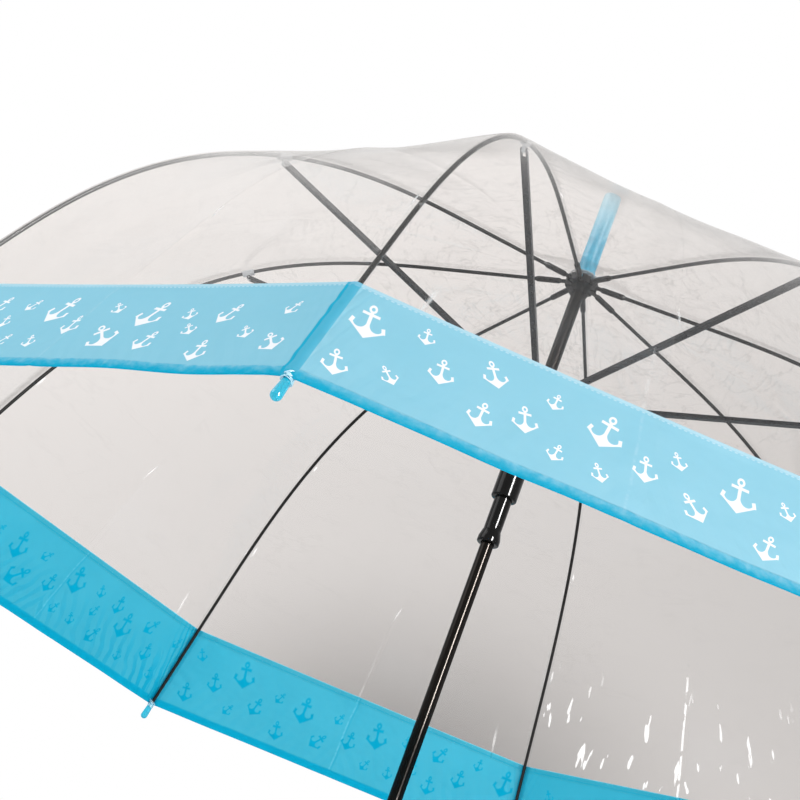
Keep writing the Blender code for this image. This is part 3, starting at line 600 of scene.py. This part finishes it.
# one printed repeat of the band: across from a rib, above the hem (both mm), size, lean in degrees. The
# first list is measured from the gore's first rib, the second from its other rib.
anchorsFirst = [
    (26, 56, "S", 19), (24, 27, "M", -39), (45, 35, "S", -33), (65, 51, "M", 20), (67, 19, "M", -2),
    (84, 37, "S", -38), (92, 51, "S", -27), (106, 25, "M", 12), (118, 50, "L", 11), (139, 28, "L", -42),
    (146, 55, "S", -37), (169, 38, "M", 2), (188, 53, "L", 18), (191, 23, "S", -20), (214, 57, "S", 25),
    (212, 23, "S", 28), (224, 40, "S", -12), (240, 56, "M", 15), (243, 22, "M", -24), (262, 44, "L", 8),
    (281, 20, "S", 20), (285, 57, "M", -30), (303, 36, "M", 12), (322, 58, "S", -18), (324, 22, "S", 24)]
anchorsSecond = [
    (18, 56, "L", 0), (45, 63, "S", -3), (16, 21, "M", -7), (40, 27, "S", -39), (60, 44, "M", -2),
    (82, 58, "M", -25), (86, 28, "M", 6), (105, 37, "M", -11), (114, 57, "S", 8), (125, 24, "S", 12),
    (142, 52, "L", 11), (147, 23, "S", -24), (166, 38, "M", -4), (179, 53, "S", -22), (194, 27, "M", -39),
    (212, 48, "L", 2), (236, 50, "S", -26), (233, 21, "M", 11), (256, 34, "M", -14), (272, 57, "L", 10),
    (280, 22, "S", -30), (297, 40, "M", 12), (314, 59, "S", 26), (321, 22, "M", 8)]
goreShift = [(0, 0), (1, 3), (0, -8), (1, -4), (0, 5), (1, 6), (0, -3), (1, -3)]   # which list, and mm across


def goreAnchors(gore):
    # the printed anchors of one gore: place to the right of its middle line as seen from outside, place
    # above the hem, height and lean
    second, shift = goreShift[gore]
    rows = []
    for across, above, size, lean in anchorsSecond if second else anchorsFirst:
        above *= 0.001
        across = halfWidth(ribLength - above) - (across + shift) * 0.001
        rows.append((-across if second else across, above, anchorSizes[size], radians(lean)))
    return np.array(rows)


def inAnchor(place, spot):
    # a place in the upright frame of one anchor, as shares of its height and of its width
    x, y = place[..., 0] - spot[..., 0], place[..., 1] - spot[..., 1]
    c, s = np.cos(spot[..., 3]), np.sin(spot[..., 3])
    return np.stack([(x * c - y * s) / anchorSizes["width"], x * s + y * c], axis=-1) / spot[..., 2, None]


def anchorCharts(rib, width):
    # gives the corners of each face their place in the frame of the anchor that is nearest to the face
    lists = [goreAnchors(rib), goreAnchors((rib - 1) % ribCount)]

    def charted(quads, sheetUv):
        corners = sheetUv[quads]
        fromMiddle = np.tile(width.ravel(), 2)[quads] - np.abs(corners[:, :, 0])
        later = corners[:, :, 0].mean(axis=1) > 0          # faces of the gore before this rib
        x = np.where(later[:, None], -fromMiddle, fromMiddle)
        y = ribLength - corners[:, :, 1]
        middle = np.stack([x.mean(axis=1), y.mean(axis=1)], axis=1)
        spot = np.zeros((len(quads), 4))
        for which, spots in enumerate(lists):
            mine = later == bool(which)
            far = np.linalg.norm(inAnchor(middle[mine, None], spots[None]), axis=2)
            spot[mine] = spots[np.argmin(far, axis=1)]
        return inAnchor(np.stack([x, y], axis=-1), spot[:, None])
    return charted


def anchorShape(x, y):
    # signed distance to an anchor one unit tall and wide, below zero inside: ring, stock, shank, two arms
    # left by round hollows above a pointed foot, and blunt flukes
    side = abs(x)
    ring = abs((x * x + (y - 0.385) ** 2).root() - 0.086) - 0.032
    stock = (abs(y - 0.215) - 0.04).larger(side - 0.26)
    shank = (side - 0.05).larger(abs(y - 0.03) - 0.26)
    hollow = 0.205 - ((side - 0.252) ** 2 + (y + 0.04) ** 2).root()
    arms = ((side * 0.62 - y - 0.5) * 0.85).larger(side - 0.5).larger(hollow).larger(y + 0.08)
    flukeX = side - 0.466
    flukeY = y + 0.115
    fluke = (abs(flukeX * 0.95 + flukeY * 0.3) - 0.052).larger(abs(flukeY * 0.95 - flukeX * 0.3) - 0.085)
    return ring.smaller(stock).smaller(shank).smaller(arms).smaller(fluke)


# Thin dyed cloth printed with anchors, painted as it looks with light coming through it: pale outside and
# stronger inside, where the print shows darker as a painted shadow because it keeps the light out. Hem and
# rib seams are double and so deeper, partly in dye and partly as painted shade where less light comes
# through, and the folds gathered at a rib get painted shade. A thread line runs below the lapped edge, and a
# faint crease down the middle is painted as a pale highlight line with a painted shade line beside it; a
# painted highlight runs along the inside of the top edge.
bandLook = dict(paleTints=((0.205, 0.555, 0.685), (0.26, 0.605, 0.725)), seamTint=(0.022, 0.45, 0.64),
                edgeTint=(0.012, 0.32, 0.53), threadTint=(0.75, 0.9, 0.95), printTint=(0.985, 0.99, 0.99),
                strongTints=((0.014, 0.42, 0.575), (0.044, 0.505, 0.665)), gleamTint=(0.3, 0.86, 0.98),
                deepTint=(0, 0.4, 0.61), throughTint=(0.035, 0.62, 0.86), through=0.2,
                hemLine=0.593, topStitch=0.5238, innerStitch=0.5252, printMiddle=0.5575, weave=0.00055)
look = bandLook
paint = Paint("bandCloth")
chart, across, along = paint.chart("sheet")
x, y = paint.chart("print")[1:]
side = abs(across)
outside = paint.attribute("outerSide")
outer = outside.step(0.3, 0.7)
cloud = paint.noise(chart, 16, 3, 0.55)
mottle = paint.noise(chart, 190, 3, 0.6)
soft = paint.noise(chart, 45)
shape = anchorShape(x, y)
field = abs(along - look["printMiddle"]).step(0.0345, 0.034) * side.step(0.002, 0.0024)
white = shape.step(0.014, -0.014) * field
shadow = (shape + (mottle - 0.5) * 0.06).step(0.055, -0.03) * field
fromHem = along - look["hemLine"]
hem = (fromHem + (mottle - 0.5) * 0.0012).step(-0.001, 0.0012)
depth = 0.28 + fromHem * 110 + (mottle - 0.5) * 1.3      # the hem grows deeper towards its lower edge
seam = abs(across + 0.0012).step(0.0034, 0.003)
fold = abs(across + 0.0032).step(0.0013, 0.0007)
crease = paint.attribute("fromCrease") + (soft - 0.5) * 0.002
middle = abs(crease).step(0.0012, 0.0002) * mottle.step(0.35, 0.6)
valley = abs(crease + 0.0016).step(0.0013, 0.0002)
stitch = abs(along - look["topStitch"]).step(0.00045, 0.0002)
stitch = stitch * (across * (tau / 0.003)).sine().step(-0.4, 0.1)
lap = along.step(0.5234, 0.523)
edge = along.step(0.5218, 0.5213)
folds = ((side + along * 0.3) * (tau / 0.0115) + soft * 7).sine().step(-0.3, 0.7)
folds = folds * along.step(0.54, 0.588) * cloud.step(0.3, 0.52)
tight = ((side * 1.2 + along * 0.25) * (tau / 0.0068) + soft * 5).sine().step(-0.1, 1)
drawn = folds.larger(tight * side.step(0.026, 0.003)) * paint.attribute("gather")
# the gathered folds are darkened with painted shade
pale = paint.mixed((cloud - 0.5) * 0.8 + 0.5 - drawn * 0.8, *look["paleTints"])
pale = paint.mixed((hem * depth).larger(seam * 0.5).larger(fold * 0.95), pale, look["seamTint"])
pale = paint.mixed(along.step(0.599, 0.5998) * 0.5, pale, look["edgeTint"])
# paler thread line and lapped edge, and a pale painted highlight line on the storage crease
pale = paint.mixed((stitch * 0.55).larger(lap * 0.35).larger(middle * 0.12), pale, look["threadTint"])
pale = paint.mixed(white, pale, look["printTint"])
strong = paint.mixed((cloud - 0.5) * 0.8 + 0.5, *look["strongTints"])
# painted highlights inside: on the storage crease and along the top edge
strong = paint.mixed((middle * 0.18).larger(edge * 0.5), strong, look["gleamTint"])
color = paint.mixed(outer, strong, pale)
# inside, a dark matt blue goes on the double hem and seams, partly as painted shade, on the inner thread
# line, and as painted shade on the print's shadow, the gathered folds and a line beside the storage crease
within = (hem * 0.94).larger(shadow * 0.96).larger(seam * 0.5).larger(drawn * 0.95).larger(valley * 0.3)
within = within.larger(abs(along - look["innerStitch"]).step(0.0008, 0.0003) * 0.55)
# outside, the same dark blue goes on the double hem, the seam and its fold, partly as painted shade
showing = (hem * (depth - 0.15).smaller(0.85).larger(0)).larger(fold * 0.75).larger(seam * 0.45)
threads = tau / look["weave"]
weave = ((across * threads).sine() + (along * threads).sine()) * 0.25 + 0.5
normal = paint.bumped(weave, 0.00006, 0.5)
normal = paint.bumped(soft - drawn * 0.35, 0.0014, 0.7, normal)
rough = 0.72 - outside * 0.24 + mottle * 0.12
cloth = paint.principled(Base_Color=color, Roughness=rough, IOR=1.32, Normal=normal)
deep = paint.simple("Diffuse", look["deepTint"], Normal=normal)
cloth = paint.blended(within + (showing - within) * outer, cloth, deep)
through = paint.simple("Translucent", look["throughTint"], Normal=normal)
bandCloth = paint.done(paint.blended(look["through"], cloth, through))


def buildBand(rib):
    # the band from its lapped top edge to its folded hem, which arches up a little between the ribs
    top, low = canopy["bandTop"], ribLength
    hem = low - canopy["hemWidth"]
    rows = np.concatenate([np.linspace(top, hem - 0.0006, 38), [hem - 0.0002, hem + 0.0002],
                           np.linspace(hem + 0.0006, low, 6)])
    along, share = stripGrid(rows, low, 0.0007, 0.0036, 0.02)
    fromMiddle = 1 - np.abs(share)
    bent = along - canopy["hemArch"] * (1 - fromMiddle ** 2) * np.clip((along - top) / (low - top), 0, 1)
    width = halfWidth(bent)
    relief = stripRelief(rib, bent, share, reliefPlan["bandPucker"]) * np.clip((along - top) / 0.012, 0, 1)
    # the cloth is thicker in the hem, at the rib's seam and 5.5 mm down from its top edge
    double = np.clip((along - hem) / 0.0004, 0, 1)
    seam = np.clip((canopy["seamHalf"] - np.abs(share) * width) / 0.0004, 0, 1)
    topHem = np.clip((top + 0.0055 - along) / 0.0005, 0, 1)
    thick = canopy["clothThick"] + canopy["hemExtra"] * double
    thick = thick + canopy["seamExtra"] * np.maximum(seam, topHem * 0.6) * (1 - double)
    height = canopy["clearance"] + canopy["filmThick"] + canopy["lapGap"]
    prints = anchorCharts(rib, width)
    item, area = stripMesh(f"bandStrip_{rib + 1}", rib, along, bent, share, height, thick, relief, prints)
    # the gore before the rib is gathered most beside the rib, and the rib's own gore only a little
    gather = np.where(share < 0, goreGather[rib] * 0.4, goreGather[rib - 1] * (0.35 + 0.65 * fromMiddle ** 2))
    setMark(item, "gather", gather)
    fit(item, bandCloth, f"rib_frame_{rib + 1}", "blue_cloth", f"band_{rib + 1}")
    return item, (2 * halfWidth(low) * canopy["weldShare"], canopy["bandFlat"]), area


for rib in range(ribCount):
    for build in (buildFilm, buildBand):
        strip, size, area = build(rib)
        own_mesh(strip)
print("canopy strips ready")


# ribs, tips and threads

tipShape = dict(neckLength=0.002, neckRadius=0.00225, barrelRadius=0.0025, endRadius=0.003, length=0.0134,
                boreRadius=0.0017, boreDepth=0.009)
# least and most are the limits of each loop's place, lean, skew, added height and share of width
threadLoops = dict(count=8, radius=0.00024, top=0.0033, under=0.0026, side=0.0027, spread=0.0046,
                   least=(0.2, -0.0017, -0.0012, 0, 0.85), most=(0.8, 0.0017, 0.0012, 0.0004, 1.15))


def buildRib(rib):
    # the rod: a flattened eye, a thicker end fitting, then a plain round rod to the tip
    rod = ribShape["rodRadius"]
    # places along it, and its two radii there
    stops = [-0.0022, -0.0013, 0, 0.0022, 0.0055, 0.007, 0.0238, 0.0252]
    wide = [0.0009, 0.001, 0.001, 0.001, 0.001, 0.0022, 0.0022, rod]
    high = [0.0008, 0.0019, 0.0022, 0.0019, 0.0015, 0.0022, 0.0022, rod]
    end = ribLength - tipShape["neckLength"] + tipShape["boreDepth"] - 0.0003
    along = np.concatenate([[stops[0]], np.linspace(-0.0021, 0.0075, 17), np.linspace(0.01, 0.0236, 6),
                            [0.024, 0.0246, 0.0252], np.linspace(0.03, end, 90), [end]])
    radii = np.stack([np.interp(along, stops, wide), np.interp(along, stops, high)], axis=1)
    radii[[0, -1]] = 0
    radius, up, slope = ribAt(along)
    c, s = cos(ribAngle(rib)), sin(ribAngle(rib))
    side = np.array([-s, c, 0])
    centres = np.stack([radius * c, radius * s, hubHeight + up], axis=1)
    alongs = np.stack([np.cos(slope) * c, np.cos(slope) * s, -np.sin(slope)], axis=1)
    item = closedPiece(f"ribRod_{rib + 1}", tubeRings(centres, side, np.cross(side, alongs), radii, 16))
    fit(item, blackRod, f"rib_frame_{rib + 1}", "black_glassfibre", f"rib_{rib + 1}")


def buildTip(rib):
    # blind cap: a thin neck for the threads, a barrel that widens, and a round end
    neckLength, neck, barrel, end, length, bore, boreDepth = tipShape.values()
    barrelFrom = neckLength + 0.0006
    endCentre = barrelFrom + length - end
    profile = [(bore, 0), (neck - 0.0002, 0), (neck, 0.0002), (neck, barrelFrom - 0.0001),
               (barrel - 0.0001, barrelFrom + 0.0003), (barrel, barrelFrom + 0.0006),
               (barrel + 0.0002, barrelFrom + 0.004), (end - 0.00004, endCentre - 0.002)]
    profile += arcProfile(0, endCentre, end, 0, 90, 12)
    profile[-1] = (0, profile[-1][1])
    profile += [(0, boreDepth), (bore, boreDepth)]
    item = turnedPiece(f"tipCap_{rib + 1}", profile, ribMatrix(rib, ribLength - neckLength), 32)
    fit(item, blueMoulded, f"rib_frame_{rib + 1}", "blue_plastic", f"rib_tip_{rib + 1}")


def buildThreads(rib):
    # Loops of thread that hold the hem's corner to the tip: leaning ovals side by side, each a closed tube.
    # The upper half lies over the doubled hem and the lower half under the tip's neck.
    points, faces = [], []
    steps, sides = 40, 6                        # points round a loop, and round the thread
    count, radius, top, under, side, spread, least, most = threadLoops.values()
    draws = np.random.default_rng(100 + rib).uniform(least, most, (count, len(least)))
    turn = np.arange(steps) * tau / steps
    c, s = np.cos(turn), np.sin(turn)
    for loop, (place, lean, skew, lift, share) in enumerate(draws):
        rise = np.where(c > 0, top + lift, under) * c
        far = -spread * (loop + place) / count + lean * s
        centres = np.stack([-rise, side * share * s + skew * c, far], axis=1)
        along = unit(np.roll(centres, -1, axis=0) - np.roll(centres, 1, axis=0))
        out = unit(np.cross(along, [0, 0, 1]))
        ring = tubeRings(centres, out, np.cross(along, out), np.full(steps, radius), sides)
        faces.append(outward(ring, gridFaces(steps, sides, True, True)) + loop * steps * sides)
        points.append(ring.reshape(-1, 3))
    points = placed(np.concatenate(points), ribMatrix(rib, ribLength + 0.0012))
    item = newObject(f"tipThread_{rib + 1}", points, np.concatenate(faces), 60, weld=False)
    fit(item, threadPale, f"rib_frame_{rib + 1}", "blue_cloth")


for rib in range(ribCount):
    buildRib(rib)
    buildTip(rib)
    buildThreads(rib)
print("ribs and tips ready")


# stretchers, brackets and wires keep their CAD shape
for name, node in frame["nodes"].items():
    for word, finish in (("stretcher", blackPressed), ("rib_bracket", greyMoulded), ("_wire", springSteel)):
        if word in name:
            node.data.materials.clear()
            node.data.materials.append(finish)


# shaft and crown
fit(smoothCopy("shaftTube", "shaft_tube"), blackLacquer, "shaft", "black_steel", "shaft_tube")


def notchedPiece(name, profile, ringRows, floorRadius, centre, halfNotch=0.0013, between=7):
    # a turned piece whose ring rows drop to floorRadius in one narrow notch for each rib
    radius, height = np.array(profile, float).T[:, :, None]
    walls = np.array([-halfNotch - 0.00012, 0.00002 - halfNotch, halfNotch - 0.00002, halfNotch + 0.00012])
    walls = walls / radius[ringRows].max()      # a notch's two walls as angles at the rim
    offsets = np.concatenate([walls, np.linspace(walls[-1], ribTurn + walls[0], between)[1:-1]])
    inNotch = np.tile(np.isin(np.arange(len(offsets)), (1, 2)), ribCount)
    angle = np.concatenate([ribAngle(k) + offsets for k in range(ribCount, 0, -1)])
    radius = radius + 0 * angle
    radius[ringRows] = np.where(inNotch, np.minimum(radius[ringRows], floorRadius), radius[ringRows])
    return closedPiece(name, ringGrid(radius, angle, height + centre), 35, closeRows=True)


# a notched disc with a plain skirt below it, both with softened edges
crownShape = dict(bore=0.005, half=0.0032, rim=0.0124, skirt=0.0072, skirtTo=0.0095, floor=0.0075,
                  soft=0.0004)
bore, half, rim, skirt, skirtTo, floor, soft = crownShape.values()
profile = [(bore, half), (bore, -skirtTo), (skirt - soft, -skirtTo), (skirt, -skirtTo + soft), (skirt, -half),
           (rim - soft, -half), (rim, -half + soft), (rim, half - soft), (rim - soft, half)]
crownRing = notchedPiece("crownRing", profile, [5, 6, 7, 8], floor, hubHeight)
fit(crownRing, blackMoulded, "shaft", "black_plastic", "crown_notch")


# clear washer under the ferrule: a stepped disc, mostly see-through, with a gloss

topShape = dict(bore=0.00465, washer=0.011, foot=0.0075, waist=0.0068, end=0.0066, soft=0.0012, height=0.081,
                stem=0.0037, stemDepth=0.02)
bore, washer, foot, waist, end, soft, height, stem, stemDepth = topShape.values()
low, high = (corner.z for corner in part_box("canopy_rosette"))
step = (high - low) * 0.35
profile = [(bore, low), (washer - step * 0.4, low), (washer, low + step * 0.6),
           (washer - step * 0.5, low + step * 1.6), (foot + 0.0006, high), (bore, high)]
paint = Paint("clearMoulded")
cloud = paint.noise(paint.place(), 300)
clear = paint.simple("Transparent", (0.88, 0.88, 0.88))
solid = paint.principled(Base_Color=(0.8, 0.81, 0.82), Roughness=0.12 + cloud * 0.08, IOR=1.49)
clearMoulded = paint.done(paint.blended(0.3, clear, solid))
fit(turnedPiece("topWasher", profile, sharpAngle=50), clearMoulded, "shaft", "clear_film", "canopy_rosette")


# ferrule: a waisted cap on its stem, with a bead at the foot, then a straight taper to a flat end

base = high + 0.0003
neck = base + 0.0045
top = hubHeight + height
profile = [(0, hubHeight - stemDepth), (stem, hubHeight - stemDepth), (stem, base), (foot - 0.0005, base),
           (foot, base + 0.0005), (foot, base + 0.0028), (foot - 0.0004, base + 0.0034),
           (waist + 0.0002, base + 0.0037), (waist, neck)]
profile += [(waist + (end - waist) * k / 8, neck + (top - soft - neck) * k / 8) for k in range(1, 8)]
profile += arcProfile(end - soft, top - soft, soft, 0, 90, 8)
profile += [(0, top)]
# its blue plastic grows paler in soft clouds from the foot to the free end
paint = Paint("blueFerrule")
place = paint.place()
height = paint.parts(place)["Z"]
cloud = paint.noise(place, 90, 3, 0.6, (1, 1, 0.5))
share = height.step(base + 0.008, top + 0.004) + (cloud - 0.5) * 0.5
tone = paint.mixed(share.larger(0).smaller(1), (0.02, 0.36, 0.56), (0.33, 0.64, 0.76))
blueFerrule = paint.done(paint.principled(Base_Color=tone, Roughness=0.22 + cloud * 0.06, IOR=1.4))
fit(turnedPiece("topFerrule", profile), blueFerrule, "shaft", "blue_plastic", "ferrule")


# runner: notched ring for the stretchers, hand collar with soft edges, neck, and a flared lower end

runnerShape = dict(bore=0.005, sleeve=0.0064, rim=0.0139, half=0.0032, top=0.0058, floor=0.0065, soft=0.0004,
                   collarFrom=0.058, collarTo=0.081, collar=0.0094, collarSoft=0.0013, bellFrom=0.106,
                   bellTo=0.1165, bell=0.0081, bellSoft=0.0012)
(bore, sleeve, rim, half, top, floor, soft, upper, lower, collar, collarSoft, bellFrom, bellTo, bell,
 bellSoft) = runnerShape.values()
profile = [(bore, top), (bore, -bellTo), (bore + 0.0004, -bellTo)]
profile += arcProfile(bell - bellSoft, bellSoft - bellTo, bellSoft, -90, 0, 6)
profile += [(bell, 0.004 - bellTo), (bell - 0.0001, 0.0046 - bellTo), (sleeve + 0.0004, -bellFrom - 0.001),
            (sleeve + 0.0001, -bellFrom - 0.0003), (sleeve, 0.0003 - bellFrom), (sleeve, 0.003 - bellFrom),
            (sleeve, -lower - 0.0016), (sleeve, -lower - 0.0002)]
profile += arcProfile(collar - collarSoft, collarSoft - lower, collarSoft, -90, 0, 7)
profile += [(collar, 0.002 - lower), (collar, -upper - 0.002)]
profile += arcProfile(collar - collarSoft, -upper - collarSoft, collarSoft, 0, 90, 7)
profile += [(sleeve + 0.0003, -upper), (sleeve, 0.0004 - upper), (sleeve, 0.002 - upper),
            (sleeve, -half - 0.0012), (sleeve, -half)]
ringRows = [len(profile) + k for k in range(4)]
profile += [(rim - soft, -half), (rim, soft - half), (rim, half - soft), (rim - soft, half),
            (sleeve, half), (sleeve, top)]
height = sum(corner.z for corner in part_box("runner_wire")) / 2
runnerSleeve = notchedPiece("runnerSleeve", profile, ringRows, floor, height)
fit(runnerSleeve, blackMoulded, "runner", "black_plastic", "runner_sleeve")
print("shaft, crown and runner ready")


# springs

def buildSpring(name, node, ends, coil, wire, turns, matrix=Matrix()):
    # a wire carried up a helix, with its ends closed
    low, high = ends
    whole = turns * tau
    turn = np.concatenate([[0], np.linspace(0, whole, turns * 24 + 1), [whole]])
    radii = np.full(len(turn), wire)
    radii[[0, -1]] = 0
    c, s, zero = np.cos(turn), np.sin(turn), 0 * turn
    out = np.stack([c, s, zero], axis=1)
    centres = np.stack([c * coil, s * coil, low + wire + (high - low - 2 * wire) * turn / whole], axis=1)
    along = unit(np.stack([-s * coil, c * coil, zero + (high - low) / whole], axis=1))
    item = closedPiece(name, placed(tubeRings(centres, out, np.cross(along, out), radii, 10), matrix))
    fit(item, springSteel, "shaft", "steel", node)
    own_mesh(item)


ends = [corner.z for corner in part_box("opening_spring")]
buildSpring("openingSpring", "opening_spring", ends, 0.0032, 0.0005, 70)
ends = [-corner.x for corner in reversed(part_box("button_spring"))]
keyHeight = sum(corner.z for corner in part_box("push_button")) / 2
keyMatrix = Matrix.Translation((0, 0, keyHeight)) @ Matrix.Rotation(-pi / 2, 4, "Y")
buildSpring("buttonSpring", "button_spring", ends, 0.002, 0.0003, 3, keyMatrix)


# crook: a round section carried down the grip and round the bend, with the shaft's socket sunk in its top;
# each step of the path is a place and a direction in X and Z, and a radius

handleShape = dict(radius=0.01, half=0.035, bend=0.038, end=0.014, socket=0.058, bore=0.005, gap=0.0003)
radius, half, bend, end, socket, bore, gap = handleShape.values()
top, deep = half - gap, half - socket
path = [(0, z, 0, -1, r) for z, r in ((deep, 0), (deep, bore), (top, bore), (top, radius - 0.0012),
                                      (top - 0.0003, radius - 0.0004), (top - 0.0011, radius))]
path += [(0, z, 0, -1, radius) for z in np.linspace(top - 0.006, -half, 10)[:-1]]
path += [(bend * (1 - cos(a)), -half - bend * sin(a), sin(a), -cos(a), radius)
         for a in np.linspace(0, pi, 41)]
path += [(2 * bend, -half + end + radius * sin(a), 0, 1, radius * max(cos(a), 0))
         for a in np.linspace(0, pi / 2, 13)]
x, z, alongX, alongZ, radii = np.array(path, float).T
side = np.array([0, 1, 0])
alongs = np.stack([alongX, 0 * x, alongZ], axis=1)
rings = tubeRings(np.stack([x, 0 * x, z], axis=1), side, np.cross(side, alongs), radii, 40)
fit(closedPiece("crookGrip", rings, 40), blueMoulded, "shaft", "blue_plastic", "handle_crook")
fit(smoothCopy("gripCollar", "handle_collar"), blackMoulded, "shaft", "black_plastic", "handle_collar")


# button: a round key with a softly domed face

low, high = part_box("push_button")
radius = (high.z - low.z) / 2
inner, outer = -high.x, -low.x
soft = 0.0006
profile = [(0, inner), (radius - 0.0002, inner), (radius, inner + 0.0002), (radius, outer - 2 * soft)]
profile += arcProfile(radius - soft, outer - 2 * soft, soft, 0, 70, 6)
profile += [(radius * 0.6, outer - 0.00012), (radius * 0.3, outer - 0.00003), (0, outer)]
fit(turnedPiece("pushKey", profile, keyMatrix, 40, 35), blueMoulded, "button", "blue_plastic", "push_button")
print("handle ready")


# floor: a wide pale disc under the lowest point, which turns to plain white away from the object

angle = np.arange(96) * tau / 96
radius = np.array([0, 0.4, 0.9, 1.6, 2.6, 4])[:, None]      # rings of the disc in metres
grid = ringGrid(radius, angle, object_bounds()[0].z)
studioFloor = newObject("studioFloor", grid, gridFaces(6, 96, closeColumns=True)[:, ::-1])
paint = Paint("floorPale")
place = paint.place()
parts = paint.parts(place)
reach = (parts["X"] * parts["X"] + parts["Y"] * parts["Y"]).root()
cloud = paint.noise(place, 3)
tone = paint.mixed(cloud * 0.1, (0.9, 0.9, 0.9), (0.86, 0.86, 0.86))
matte = paint.principled(Base_Color=tone, Roughness=0.8)
bright = paint.node("Emission", {"Color": (1, 1, 1), "Strength": 1})["Emission"]
studioFloor.data.materials.append(paint.done(paint.blended(reach.step(0.9, 2.6), matte, bright)))


# World: soft grey light all round. Where it is looked at, mirrored or seen through glass it is plain white,
# and where it is looked at through clear film it is a pale grey wall with painted shading, lighter higher up
# and greyer to one side, and one painted shadow low down.

lightPlan = dict(roomColor=(0.985, 0.99, 1), roomStrength=0.68, wallRight=(0.926, 0.16, 0.342),
                 wallUp=(-0.236, -0.462, 0.855), wallTone=(1.036, 0.994, 0.97), wallLevel=0.74, upGain=0.92,
                 upCurve=2.85, rightGain=-0.28, darkPlace=(-0.024, -0.26), darkReach=(0.205, 0.169),
                 darkDepth=0.44)
plan = lightPlan
world = bpy.data.worlds.new("softRoom")
paint = Paint("softRoom", world)
path = paint.node("LightPath")
direction = paint.node("TexCoord")["Generated"]
right = paint.dot(direction, plan["wallRight"])
up = paint.dot(direction, plan["wallUp"])
# a painted shadow low down on the wall
fromShadow = (((right - plan["darkPlace"][0]) / plan["darkReach"][0]) ** 2
            + ((up - plan["darkPlace"][1]) / plan["darkReach"][1]) ** 2).root()
# painted shading: lighter higher up and greyer to one side
level = plan["wallLevel"] + up * plan["upGain"] + up * up * plan["upCurve"] + right * plan["rightGain"]
level = (level - fromShadow.step(1.1, 0.1) * plan["darkDepth"]).larger(0.35).smaller(0.95)
wall = paint.mixed(level, (0, 0, 0), plan["wallTone"])
through = path["Is Camera Ray"] * path["Transparent Depth"].step(0.3, 0.7)
plain = path["Is Camera Ray"].larger(path["Is Glossy Ray"]).larger(path["Is Transmission Ray"])
color = paint.mixed(through, (1, 1, 1), wall)
room = {"Color": plan["roomColor"], "Strength": plan["roomStrength"]}
room = paint.node("Background", room)["Background"]
white = paint.node("Background", {"Color": color, "Strength": 1})["Background"]
paint.node("OutputWorld", {"Surface": paint.blended(plain, room, white)})
bpy.context.scene.world = world


# lamps

def addLamp(name, place, width, height, power, color=(1, 1, 1)):
    # a rectangle of light that faces the middle of the umbrella
    lamp = bpy.data.lights.new(name, "AREA")
    lamp.shape = "RECTANGLE"
    lamp.size, lamp.size_y = width, height
    lamp.energy = power
    lamp.color = color
    item = linked(name, lamp)
    item.location = place
    item.rotation_euler = (Vector((0, 0, 0.5)) - Vector(place)).to_track_quat("-Z", "Y").to_euler()
    item.visible_camera = False                          # so that no lamp hides the object from another side
    return item


addLamp("keyLamp", (-2, -1.3, 1.9), 1.6, 1.6, 32)
fill = addLamp("fillLamp", (2.2, -1.2, 1.2), 1.4, 1.8, 30, (1, 0.92, 0.91))
above = addLamp("topLamp", (0.2, 0.8, 2.8), 2, 2, 20)
fill.visible_glossy = above.visible_glossy = False               # they light, but leave no glare on the film
strip = addLamp("stripLamp", (1.25, -1.29, 0.75), 0.3, 1.3, 300)
strip.visible_diffuse = strip.visible_transmission = False       # seen only in gloss, as on the shaft


# camera: placed from the crown's pivots, below the hem, looking up across the dome

cameraPlan = dict(offset=(0.2722, -1.1001, -0.6215), forward=(-0.29462, 0.87215, 0.39058),
                  up=(-0.23563, -0.4624, 0.85479), lens=76.9, sensor=36)
offset, forward, up, lens, sensor = cameraPlan.values()
data = bpy.data.cameras.new("studioCamera")
data.lens, data.sensor_width = lens, sensor
data.clip_start, data.clip_end = 0.01, 50
back = -Vector(forward).normalized()
right = Vector(up).cross(back).normalized()
camera = linked("studioCamera", data)
camera.matrix_world = frameAlong(Vector(offset) + Vector((0, 0, hubHeight)), back, back.cross(right))
bpy.context.scene.camera = camera
bpy.context.scene.view_settings.view_transform = "Standard"
print("floor, light and camera ready")
